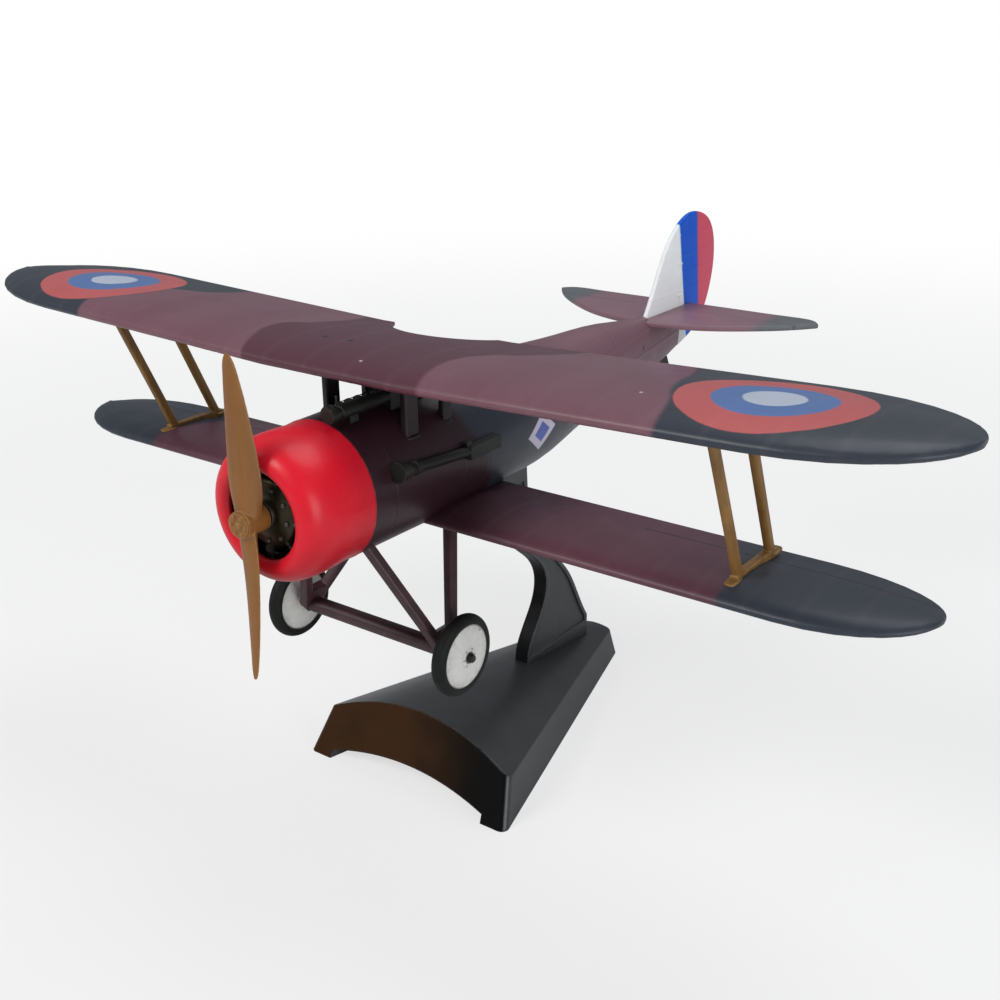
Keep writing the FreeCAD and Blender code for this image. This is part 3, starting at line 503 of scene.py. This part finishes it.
def stand_paint():
    """Black satin; the front face over the arch carries painted shade and, in part, a painted brown reflection,
    and the arm's front faces carry painted shade.
    """
    paint = Paint("stand_gloss")
    front = (paint.ny * -1.0).step(0.62, 0.1) * paint.y.step(40.0, 0.5).invert()
    colour = paint.mix(rgb(34, 36, 37), rgb(50, 53, 55), paint.noise(9.0, 3.0, 0.6, seed=51.0))
    brown_reflection = paint.x.step(7.0, 7.0).invert() * paint.noise(10.0, 2.0, 0.5, seed=52.0).step(0.3, 0.3)
    # The base's front face near-black: painted shade.
    colour = paint.mix(colour, rgb(8, 8, 7), front * 0.95)
    # The arm's front faces near-black: painted shade.
    rim = paint.y.step(45.0, 0.5) * (paint.ny * -1.0).step(0.3, 0.15)
    colour = paint.mix(colour, rgb(9, 9, 9), rim * 0.8)
    # Painted brown reflection on the front face.
    colour = paint.mix(colour, rgb(64, 40, 20), front * brown_reflection * 0.9)
    # Paler, broken edges: rub together with painted highlight along the edges.
    rub = paint.edges(0.35) * paint.noise(0.9, 3.0, 0.7, seed=53.0).step(0.48, 0.1)
    colour = paint.mix(colour, rgb(104, 106, 104), rub * 0.3)
    colour = paint.weather(colour, 0.12, 5.0, 54.0, 0.02)
    flow = (paint.noise(6.0, 2.0, 0.4, seed=55.0) - 0.5) * 0.06
    shine = front.high(rim) * -0.5 + 0.6
    return paint.finish(colour, 0.36, 0.06, flow, 0.5, specular=shine, seed=54.0)


def wheel_paint():
    """White cover with faint spokes under it, darker and greyer towards the tyre."""
    paint = Paint("wheel_cover")
    axle = (AXLE - HUB) / MM
    up, along = paint.z - axle.z, paint.y - axle.y
    away = (up.power(2.0) + along.power(2.0)).power(0.5)
    spokes = (up.angle(along) * 16.0).sine()
    colour = paint.mix(rgb(226, 226, 221), rgb(206, 206, 200), paint.noise(2.5, 3.0, 0.6, seed=61.0))
    # Darker and greyer towards the tyre.
    colour = paint.mix(colour, rgb(70, 68, 66), away.step(4.55, 0.14) * 0.8)
    tyre_side_grey = away.step(3.9, 0.8) * paint.noise(1.2, 3.0, 0.7, seed=62.0).step(0.5, 0.12)
    colour = paint.mix(colour, rgb(120, 116, 108), tyre_side_grey * 0.35)
    colour = paint.mix(colour, rgb(60, 56, 54), away.step(0.95, 0.15).invert() * 0.8)
    colour = paint.weather(colour, 0.05, 2.0, 63.0)
    height = spokes * away.within(2.7, 1.6, 0.4) * 0.012 + groove(away, 1.5, 0.07, 0.05)
    return paint.finish(colour, 0.45, 0.1, height, 0.12, seed=63.0)


PAINTS = {
    "upper_wing": upper_wing_paint(),
    "lower_wing": lower_wing_paint(),
    "fuselage": fuselage_paint(),
    "tailplane": tailplane_paint(),
    "fin": fin_paint(),
    "cowling": cowling_paint(),
    "stand": stand_paint(),
    "wheel": wheel_paint(),
    "engine": moulded("engine_dark", rgb(38, 36, 32), rgb(56, 54, 44), 0.42, 2.0, rgb(120, 116, 100), 0.1,
                      metal=0.35, seed=71.0),
    "brass": moulded("engine_bronze", rgb(60, 52, 30), rgb(40, 36, 24), 0.38, 1.5, rgb(112, 100, 66), 0.08,
                     metal=0.6, seed=73.0),
    "prop": moulded("propeller_tan", rgb(148, 98, 43), rgb(126, 80, 32), 0.5, 5.0, rgb(182, 140, 84), 0.15,
                    grain=(1.6, 1.6, 0.18), seed=75.0),
    "strut": moulded("strut_tan", rgb(146, 106, 51), rgb(116, 84, 39), 0.52, 3.0, rgb(182, 146, 92), 0.2,
                     grain=(1.5, 1.5, 0.3), seed=77.0),
    "gear": moulded("gear_maroon", rgb(72, 44, 48), rgb(52, 32, 36), 0.45, 3.0, rgb(104, 76, 76), 0.2,
                    seed=79.0),
    # Cabane frames near-black: the purple paint darkened as painted shade under the upper wing.
    "cabane": moulded("cabane_shaded_dark", rgb(32, 19, 24), rgb(23, 15, 19), 0.55, 2.0, rgb(46, 34, 38), 0.2,
                      seed=81.0),
    "gun": moulded("gun_dark", rgb(25, 27, 22), rgb(18, 20, 17), 0.5, 1.2, rgb(50, 53, 46), 0.12, metal=0.15,
                   seed=83.0),
    "tyre": moulded("tyre_rubber", rgb(13, 14, 14), rgb(24, 25, 25), 0.62, 2.0, rgb(58, 60, 58), 0.1,
                    seed=85.0, specular=0.25),
    "steel": moulded("bare_steel", rgb(150, 150, 148), rgb(118, 118, 116), 0.32, 1.0, rgb(200, 200, 196), 0.1,
                     metal=0.9, seed=87.0),
    "steel_dark": moulded("blued_steel", rgb(58, 58, 56), rgb(40, 40, 38), 0.4, 1.0, rgb(120, 120, 114), 0.06,
                          metal=0.5, seed=88.0),
    # Near-black for the gun's cooling dimples: painted shade.
    "slot_shade": moulded("slot_shade_black", rgb(12, 12, 11), rgb(20, 20, 18), 0.7, 0.8, None, 0.0, seed=90.0),
    "tub": moulded("cockpit_brown", rgb(62, 44, 34), rgb(44, 32, 26), 0.6, 2.0, rgb(98, 76, 58), 0.15,
                   seed=89.0),
    "leather": moulded("coaming_leather", rgb(70, 44, 30), rgb(48, 30, 22), 0.5, 1.0, rgb(112, 78, 54), 0.1,
                       seed=91.0),
}
PAINT_OF = {
    "stand_base": "stand", "stand_arm": "stand", "stand_screw": "steel", "fuselage_port": "fuselage",
    "fuselage_starboard": "fuselage", "cockpit_tub": "tub", "cowling": "cowling", "engine_block": "engine",
    "propeller": "prop", "propeller_shaft": "prop", "upper_wing": "upper_wing", "lower_wing": "lower_wing",
    "interplane_strut_port": "strut", "interplane_strut_starboard": "strut", "cabane_frame_port": "cabane",
    "cabane_frame_starboard": "cabane", "gear_leg_port": "gear", "gear_leg_starboard": "gear",
    "axle": "steel", "axle_fairing": "gear", "axle_caps": "gun", "wheel_disc_port": "wheel",
    "wheel_disc_starboard": "wheel", "tyre_port": "tyre", "tyre_starboard": "tyre", "tailplane": "tailplane",
    "fin_rudder": "fin", "tail_skid": "gun", "top_gun": "gun", "side_gun": "gun",
}


# ---------------------------------------------------------------- pieces
def add_piece(name, mesh, paint, body):
    """A named object with one finish, riding on a body."""
    piece = bpy.data.objects.new(name, mesh)
    bpy.context.scene.collection.objects.link(piece)
    piece.data.materials.append(PAINTS[paint])
    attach(piece, body)
    return piece


def smooth(mesh, angle):
    """Soft shading, with edges sharper than the angle in degrees kept crisp."""
    for polygon in mesh.polygons:
        polygon.use_smooth = True
    mesh.set_sharp_from_angle(angle=math.radians(angle))


def surface_of(node):
    """The CAD node as one welded mesh with soft shading and crisp edges, shown in the node's place."""
    source = NODES[node]
    mesh = bmesh.new()
    mesh.from_mesh(source.data)
    bmesh.ops.remove_doubles(mesh, verts=mesh.verts, dist=0.002 * MM)
    bmesh.ops.dissolve_degenerate(mesh, edges=mesh.edges, dist=0.001 * MM)
    data = bpy.data.meshes.new(f"{node}_skin")
    mesh.to_mesh(data)
    mesh.free()
    for name in ("custom_normal", "sharp_face"):
        if name in data.attributes:
            data.attributes.remove(data.attributes[name])
    smooth(data, 28.0)
    piece = add_piece(f"{node}_skin", data, PAINT_OF[node], BODY_OF[node])
    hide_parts(node)


def paint_node(node):
    """Gives a CAD node that keeps its own mesh the finish chosen for it."""
    data = NODES[node].data
    data.materials.clear()
    data.materials.append(PAINTS[PAINT_OF[node]])


# Large shapes, whose CAD facets would show: each is shown by a smooth skin.
SKINNED = ["upper_wing", "lower_wing", "fuselage_port", "fuselage_starboard", "cowling", "propeller",
           "stand_base", "stand_arm", "tailplane", "fin_rudder"]
for node in NODES:
    if node in SKINNED:
        surface_of(node)
    else:
        paint_node(node)


# ---------------------------------------------------------------- detail shapes
def finished(mesh, name):
    """A bmesh in hub millimetres as shaded mesh data in metres."""
    for vert in mesh.verts:
        vert.co = place(*vert.co)
    bmesh.ops.recalc_face_normals(mesh, faces=mesh.faces)
    data = bpy.data.meshes.new(name)
    mesh.to_mesh(data)
    mesh.free()
    smooth(data, 38.0)
    return data


def lathe(mesh, centre, axis, profile, count=40):
    """Adds a turned form: profile is (along the axis, radius) from one end to the other."""
    centre, axis = Vector(centre), Vector(axis).normalized()
    out = axis.orthogonal().normalized()
    across = axis.cross(out)
    rings = []
    for along, radius in profile:
        ring = []
        for index in range(count):
            angle = 2 * math.pi * index / count
            spoke = out * math.cos(angle) + across * math.sin(angle)
            ring.append(mesh.verts.new(centre + axis * along + spoke * radius))
        rings.append(ring)
    for low, high in zip(rings, rings[1:]):
        for index in range(count):
            after = (index + 1) % count
            mesh.faces.new((low[index], low[after], high[after], high[index]))
    mesh.faces.new(list(reversed(rings[0])))
    mesh.faces.new(rings[-1])


def cushion(mesh, centre, half, turn=None, square=0.45, fine=28):
    """Adds a block between a ball (square 1) and a box (square 0)."""
    def push(value, reach):
        return math.copysign(abs(value) ** square, value) * reach

    turn = turn or Matrix.Identity(3)
    made = bmesh.ops.create_uvsphere(mesh, u_segments=fine, v_segments=fine * 5 // 8, radius=1.0)
    for vert in made["verts"]:
        local = Vector(push(value, reach) for value, reach in zip(vert.co, half))
        vert.co = Vector(centre) + turn @ local


def tube(mesh, points, radius, closed=False, sides=10, flat=1.0):
    """Adds a round or flattened rod along points, with rounded ends."""
    points = [Vector(point) for point in points]
    count = len(points)
    rings = []
    for index, point in enumerate(points):
        before = points[index - 1] if index or closed else point
        after = points[(index + 1) % count] if index < count - 1 or closed else point
        run = (after - before).normalized()
        out = run.cross(Vector((0.13, 0.21, 0.97))).normalized()
        up = out.cross(run)
        ring = []
        for side in range(sides):
            angle = 2 * math.pi * side / sides
            spoke = out * math.cos(angle) + up * math.sin(angle) * flat
            ring.append(mesh.verts.new(point + spoke * radius))
        rings.append(ring)
    pairs = list(zip(rings, rings[1:])) + ([(rings[-1], rings[0])] if closed else [])
    for low, high in pairs:
        for side in range(sides):
            after = (side + 1) % sides
            mesh.faces.new((low[side], low[after], high[after], high[side]))
    if not closed:
        mesh.faces.new(list(reversed(rings[0])))
        mesh.faces.new(rings[-1])


def hull_skin():
    """The fuselage shells, for finding where a detail sits on them."""
    verts, faces = [], []
    for name in ("fuselage_port", "fuselage_starboard"):
        source = NODES[name]
        base = len(verts)
        verts += [(source.matrix_world @ vert.co - HUB) / MM for vert in source.data.vertices]
        faces += [[base + index for index in polygon.vertices] for polygon in source.data.polygons]
    return BVHTree.FromPolygons(verts, faces)


HULL = hull_skin()


def on_hull(origin, towards):
    """Where a straight line meets the fuselage, and the surface's normal there."""
    spot, normal, _, _ = HULL.ray_cast(Vector(origin), Vector(towards).normalized())
    return spot, normal


def facing(normal, along=(0.0, 1.0, 0.0)):
    """Axes with Z out of a surface and Y as near as can be to the given run."""
    out = Vector(normal).normalized()
    run = (Vector(along) - out * out.dot(Vector(along))).normalized()
    return Matrix((run.cross(out), run, out)).transposed()


def feet(node, top, deep=1.2):
    """Middles of a frame's two ends at its top or bottom, front one first."""
    source = NODES[node]
    spots = [(source.matrix_world @ vert.co - HUB) / MM for vert in source.data.vertices]
    limit = max(spot.z for spot in spots) if top else min(spot.z for spot in spots)
    near = [spot for spot in spots if abs(spot.z - limit) < deep]
    middle = (min(spot.y for spot in near) + max(spot.y for spot in near)) / 2
    groups = [[spot for spot in near if (spot.y < middle) == front] for front in (True, False)]
    return [sum(group, Vector()) / len(group) for group in groups if group]


# ---------------------------------------------------------------- detail pieces
# Turned profiles: (along the axis, radius).
STITCH = [(-0.16, 0.5), (-0.1, 0.58), (0.1, 0.58), (0.16, 0.5)]
CRANKCASE_COVER = [(3.75, 2.35), (3.75, 3.0), (3.95, 3.35), (4.1, 4.3), (4.35, 4.65), (4.7, 4.85), (5.9, 4.9)]
VALVE = [(-0.4, 0.16), (0.05, 0.16), (0.1, 0.1)]
INSPECTION_CAP = [(-0.1, 0.42), (0.05, 0.42), (0.13, 0.3), (0.15, 0.12)]
HUB_FLANGE = [(-0.3, 1.62), (-0.12, 1.55), (-0.02, 1.4), (0.0, 1.1), (-0.02, 0.9), (-0.3, 0.85)]
FILLER_CAP = [(-0.3, 1.0), (0.1, 1.0), (0.16, 0.92), (0.2, 0.7), (0.45, 0.66), (0.5, 0.5)]


def detail(name, mesh, paint, like):
    """A detail that rides with the node it is fitted to."""
    return add_piece(name, finished(mesh, name), paint, BODY_OF[like])


def cockpit():
    rim_y, half_wide, half_long, steps = 46.3, 4.85, 6.05, 72
    rim = []
    for index in range(steps):
        angle = 2 * math.pi * index / steps
        x, y = half_wide * math.cos(angle), half_long * math.sin(angle)
        spot, _ = on_hull((x * 1.04, rim_y + y * 1.03, 20.0), (0, 0, -1))
        rim.append((x, rim_y + y, spot.z + 0.12))
    mesh = bmesh.new()
    tube(mesh, rim, 0.52, closed=True, sides=14)
    detail("cockpit_coaming", mesh, "leather", "fuselage_port")
    mesh = bmesh.new()
    for index in range(0, steps, 3):
        before, after = Vector(rim[index]), Vector(rim[(index + 1) % steps])
        lathe(mesh, before, after - before, STITCH, 18)
    detail("coaming_stitching", mesh, "tub", "fuselage_port")
    mesh = bmesh.new()
    cushion(mesh, (0.0, 49.9, 4.4), (2.5, 0.55, 3.0), Matrix.Rotation(math.radians(-8), 3, "X"))
    cushion(mesh, (0.0, 47.4, 1.7), (2.5, 2.3, 0.6))
    detail("pilot_seat", mesh, "leather", "cockpit_tub")
    mesh = bmesh.new()
    cushion(mesh, (0.0, 42.0, 6.3), (3.1, 0.35, 1.7), None, 0.3)
    for x, z, radius in ((-1.8, 6.5, 0.75), (0.0, 6.9, 0.85), (1.8, 6.5, 0.75)):
        lathe(mesh, (x, 42.2, z), (0, 1, 0), [(0, radius), (0.32, radius), (0.32, radius * 0.8),
                                             (0.2, radius * 0.78)], 28)
    detail("instrument_panel", mesh, "gun", "cockpit_tub")
    mesh = bmesh.new()
    tube(mesh, [(0.0, 44.3, 1.2), (0.0, 44.5, 3.0), (0.0, 44.9, 4.6), (0.0, 45.1, 5.6)], 0.22)
    cushion(mesh, (0.0, 45.15, 5.9), (0.36, 0.36, 0.6))
    detail("control_stick", mesh, "gun", "cockpit_tub")
    mesh = bmesh.new()
    spot, normal = on_hull((0.0, 54.6, 20.0), (0, 0, -1))
    cushion(mesh, spot - Vector((0, 0, 0.1)), (1.7, 1.8, 0.75), facing(normal), 0.7)
    detail("head_rest", mesh, "leather", "fuselage_port")


def nose():
    """The engine's front: a stepped cover, and a bolt and a push rod for each cylinder."""
    mesh = bmesh.new()
    lathe(mesh, (0, 0, 0), (0, 1, 0), CRANKCASE_COVER, 56)
    detail("crankcase_cover", mesh, "brass", "engine_block")
    bolts, rods = bmesh.new(), bmesh.new()
    cylinders = 9
    for index in range(cylinders):
        angle = 2 * math.pi * (index + 0.5) / cylinders
        x, z = math.sin(angle), math.cos(angle)
        seat = (3.75 * x, 3.95, 3.75 * z)
        lathe(bolts, seat, (0, -1, 0), [(-0.2, 0.36), (0.12, 0.36), (0.2, 0.28)], 6)
        lathe(bolts, seat, (0, -1, 0), [(0.1, 0.2), (0.3, 0.2), (0.36, 0.12)], 14)
        tube(rods, [(4.6 * x, 4.6, 4.6 * z), (5.6 * x, 4.55, 5.6 * z), (7.6 * x, 4.7, 7.6 * z)], 0.24)
        lathe(rods, (4.7 * x, 4.6, 4.7 * z), (x, 0, z), [(-0.3, 0.42), (0.2, 0.4), (0.35, 0.28)], 16)
    detail("crankcase_bolts", bolts, "steel_dark", "engine_block")
    detail("push_rods", rods, "steel_dark", "engine_block")


def gun_fittings(muzzle, breech, radius):
    """Rings along the jacket and a flared muzzle, with a bead sight on top."""
    run = (breech - muzzle).normalized()
    length = (breech - muzzle).length
    mesh = bmesh.new()
    count = 6
    for index in range(count):
        spot = muzzle + run * (length * (index + 0.6) / count)
        lathe(mesh, spot, run, [(-0.24, radius * 0.9), (-0.16, radius * 1.07), (0.16, radius * 1.07),
                                (0.24, radius * 0.9)], 28)
    lathe(mesh, muzzle, run, [(0.0, radius * 0.45), (0.0, radius * 0.95), (0.3, radius * 1.08),
                              (0.9, radius * 1.0), (1.1, radius * 0.8)], 28)
    post = muzzle + run * (length * 0.2) + Vector((0, 0, radius))
    bead = post + Vector((0, 0, 0.9))
    tube(mesh, [post + Vector((0, 0, -0.2)), bead], 0.13)
    cushion(mesh, bead, (0.18, 0.18, 0.18), None, 1.0)
    detail("top_gun_fittings", mesh, "gun", "top_gun")


def cooling_slots(start, end, radius):
    """Rows of oval dimples round the jacket, shown as dark inlays a hair above it: painted shade in the dimples.
    """
    run = (end - start).normalized()
    out = run.cross(Vector((0, 0, 1))).normalized()
    up = out.cross(run)
    mesh = bmesh.new()
    for row in range(9):
        spot = start + run * ((end - start).length * (row + 1.1) / 10)
        for turn in range(7):
            angle = math.radians(-20 + 38 * turn)
            normal = out * math.cos(angle) + up * math.sin(angle)
            cushion(mesh, spot + normal * radius * 0.985, (0.14, 0.3, 0.05), facing(normal, run), 0.8, 12)
    detail("top_gun_slots", mesh, "slot_shade", "top_gun")


def top_gun():
    x, z, radius = 2.0, 11.2, 0.98
    gun_fittings(Vector((x, 13.9, z)), Vector((x, 24.6, z)), radius)
    cooling_slots(Vector((x, 15.6, z)), Vector((x, 24.4, z)), radius)
    mesh = bmesh.new()
    cushion(mesh, (x, 28.2, 11.9), (0.75, 2.6, 0.3), None, 0.4)
    tube(mesh, [(3.0, 27.0, 10.9), (3.35, 27.0, 11.0), (3.45, 27.6, 11.3)], 0.17)
    tube(mesh, [(1.0, 29.0, 10.4), (0.2, 29.0, 10.7), (-0.9, 29.0, 10.3)], 0.55, sides=12, flat=0.5)
    detail("top_gun_feed", mesh, "gun", "top_gun")


def wheels():
    """A flange with bolts and a valve on the outer face of each wheel."""
    axle = (AXLE - HUB) / MM
    bolts, bolt_circle = 6, 1.24
    for name, side in SIDES.items():
        face = side * (abs(box_edge(f"wheel_disc_{name}", side)) - 0.02)
        centre = Vector((face, axle.y, axle.z))
        mesh = bmesh.new()
        lathe(mesh, centre, (side, 0, 0), HUB_FLANGE, 40)
        lathe(mesh, centre + Vector((-0.35 * side, 3.1, 2.9)), (side, 0, 0), VALVE, 14)
        detail(f"hub_flange_{name}", mesh, "wheel", f"wheel_disc_{name}")
        mesh = bmesh.new()
        for index in range(bolts):
            angle = 2 * math.pi * index / bolts
            spot = centre + Vector((0, math.cos(angle), math.sin(angle))) * bolt_circle
            lathe(mesh, spot, (side, 0, 0), [(-0.2, 0.12), (0.02, 0.12), (0.07, 0.07)], 6)
        detail(f"hub_bolts_{name}", mesh, "steel_dark", f"wheel_disc_{name}")


def box_edge(node, side):
    """The outer X of a node, in hub millimetres."""
    low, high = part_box(node)
    return ((high if side > 0 else low).x - HUB.x) / MM


def shoes():
    """Small moulded pads where the frames meet wings and fuselage."""
    frames = [(f"interplane_strut_{name}", "strut", 0.87, 1.6) for name in SIDES]
    frames += [(f"cabane_frame_{name}", "cabane", 1.0, 1.55) for name in SIDES]
    for node, paint, wide, long in frames:
        mesh = bmesh.new()
        for top, inward in ((True, -0.55), (False, 0.55)):
            for spot in feet(node, top):
                cushion(mesh, spot + Vector((0, 0, inward)), (wide, long, 0.3), None, 0.6)
        detail(f"{node}_shoes", mesh, paint, node)


def hull_fittings():
    """Inspection caps along both flanks, and a filler cap ahead of the cockpit."""
    for name, side in SIDES.items():
        mesh = bmesh.new()
        for y in (60.0, 72.0, 84.0, 95.0):
            spot, normal = on_hull((side * 30.0, y, 2.4), (-side, 0, 0))
            lathe(mesh, spot, normal, INSPECTION_CAP, 22)
        detail(f"inspection_caps_{name}", mesh, "fuselage", f"fuselage_{name}")
    mesh = bmesh.new()
    spot, normal = on_hull((-3.6, 35.6, 20.0), (0, 0, -1))
    lathe(mesh, spot, normal, FILLER_CAP, 30)
    detail("filler_cap", mesh, "steel_dark", "fuselage_starboard")


def tail_fittings():
    """Small blocks on the hinge lines of the rudder and the tailplane."""
    mesh = bmesh.new()
    for z in (8.5, 14.5, 20.0):
        cushion(mesh, (0.0, 113.0, z), (0.62, 0.9, 0.26), None, 0.5)
    detail("rudder_hinges", mesh, "fin", "fin_rudder")
    mesh = bmesh.new()
    for side in SIDES.values():
        for x in (6.0, 13.0, 20.0):
            cushion(mesh, (side * x, 111.2, 5.75), (0.5, 0.8, 0.2), None, 0.6)
    detail("elevator_hinges", mesh, "tailplane", "tailplane")


cockpit()
nose()
top_gun()
wheels()
shoes()
hull_fittings()
tail_fittings()


# ---------------------------------------------------------------- room
def floor():
    """A wide pale floor that fades into the white background at its rim."""
    mesh = bmesh.new()
    bmesh.ops.create_circle(mesh, cap_ends=True, segments=96, radius=2.4)
    data = bpy.data.meshes.new("floor")
    mesh.to_mesh(data)
    mesh.free()
    item = bpy.data.objects.new("floor", data)
    item.location.z = CAD_BOX[0].z - 0.00002
    bpy.context.scene.collection.objects.link(item)
    paint = Paint("floor_pale")
    nodes, links = paint.tree.nodes, paint.tree.links
    tone = paint.mix(rgb(238, 238, 237), rgb(228, 228, 228), paint.noise(60.0, 2.0, 0.5, seed=95.0))
    data.materials.append(paint.finish(tone, 0.8, 0.05, specular=0.2, seed=95.0))
    path = nodes.new("ShaderNodeLightPath")
    glow = nodes.new("ShaderNodeEmission")
    glow.inputs["Color"].default_value = (1.0, 1.0, 1.0, 1.0)
    glow.inputs["Strength"].default_value = 1.0
    near_share = 0.66
    fade = paint.distance(0.0, 60.0).step(330.0, 190.0) * (1 - near_share) + near_share
    seen = Field(paint.tree, path.outputs["Is Camera Ray"]) * fade
    blend = nodes.new("ShaderNodeMixShader")
    links.new(seen.socket, blend.inputs[0])
    links.new(paint.shader.outputs[0], blend.inputs[1])
    links.new(glow.outputs[0], blend.inputs[2])
    links.new(blend.outputs[0], nodes["Material Output"].inputs["Surface"])
    paint.material.cycles.emission_sampling = "NONE"


def softbox(name, spot, target, size, power, tone):
    """A round area light at a spot, turned to the target."""
    light = bpy.data.lights.new(name, "AREA")
    light.shape = "DISK"
    light.size = size
    light.energy = power
    light.color = tone
    item = bpy.data.objects.new(name, light)
    item.location = spot
    item.rotation_euler = (target - spot).to_track_quat("-Z", "Y").to_euler()
    bpy.context.scene.collection.objects.link(item)


def camera():
    """The photograph's viewpoint: round from the nose towards port, above, with a slight roll."""
    around, above, roll = math.radians(36.325), math.radians(21.67), math.radians(-0.585)
    reach, target = 168.06 * MM, place(21.97, 25.12, 0.0)
    lens = bpy.data.cameras.new("camera")
    lens.lens, lens.sensor_width = 45.745, 36.0
    lens.clip_start, lens.clip_end = 0.005, 20.0
    item = bpy.data.objects.new("camera", lens)
    back = Vector((math.cos(above) * math.sin(around), -math.cos(above) * math.cos(around), math.sin(above)))
    turn = (-back).to_track_quat("-Z", "Y").to_matrix() @ Matrix.Rotation(roll, 3, "Z")
    item.matrix_world = Matrix.Translation(target + back * reach) @ turn.to_4x4()
    bpy.context.scene.collection.objects.link(item)
    bpy.context.scene.camera = item


def room():
    """White to the camera, but a dimmer room for everything the model reflects."""
    scene = bpy.context.scene
    scene.view_settings.view_transform = "Standard"
    world = bpy.data.worlds.new("room")
    world.use_nodes = True
    nodes, links = world.node_tree.nodes, world.node_tree.links
    soft = nodes["Background"]
    soft.inputs["Color"].default_value = rgb(236, 242, 250)
    soft.inputs["Strength"].default_value = ROOM_LIGHT
    white = nodes.new("ShaderNodeBackground")
    white.inputs["Color"].default_value = (1.0, 1.0, 1.0, 1.0)
    path = nodes.new("ShaderNodeLightPath")
    blend = nodes.new("ShaderNodeMixShader")
    links.new(path.outputs["Is Camera Ray"], blend.inputs[0])
    links.new(soft.outputs[0], blend.inputs[1])
    links.new(white.outputs[0], blend.inputs[2])
    links.new(blend.outputs[0], nodes["World Output"].inputs["Surface"])
    scene.world = world
    middle = (CAD_BOX[0] + CAD_BOX[1]) / 2
    softbox("key", middle + Vector((-0.22, -0.5, 0.45)), middle, 0.3, KEY_LIGHT, (1.0, 0.98, 0.96))
    softbox("fill", middle + Vector((0.62, -0.2, 0.12)), middle, 0.4, FILL_LIGHT, (0.98, 0.99, 1.0))
    softbox("top", middle + Vector((0.05, 0.35, 0.75)), middle, 0.6, TOP_LIGHT, (0.97, 0.98, 1.0))
    floor()
    camera()


room()
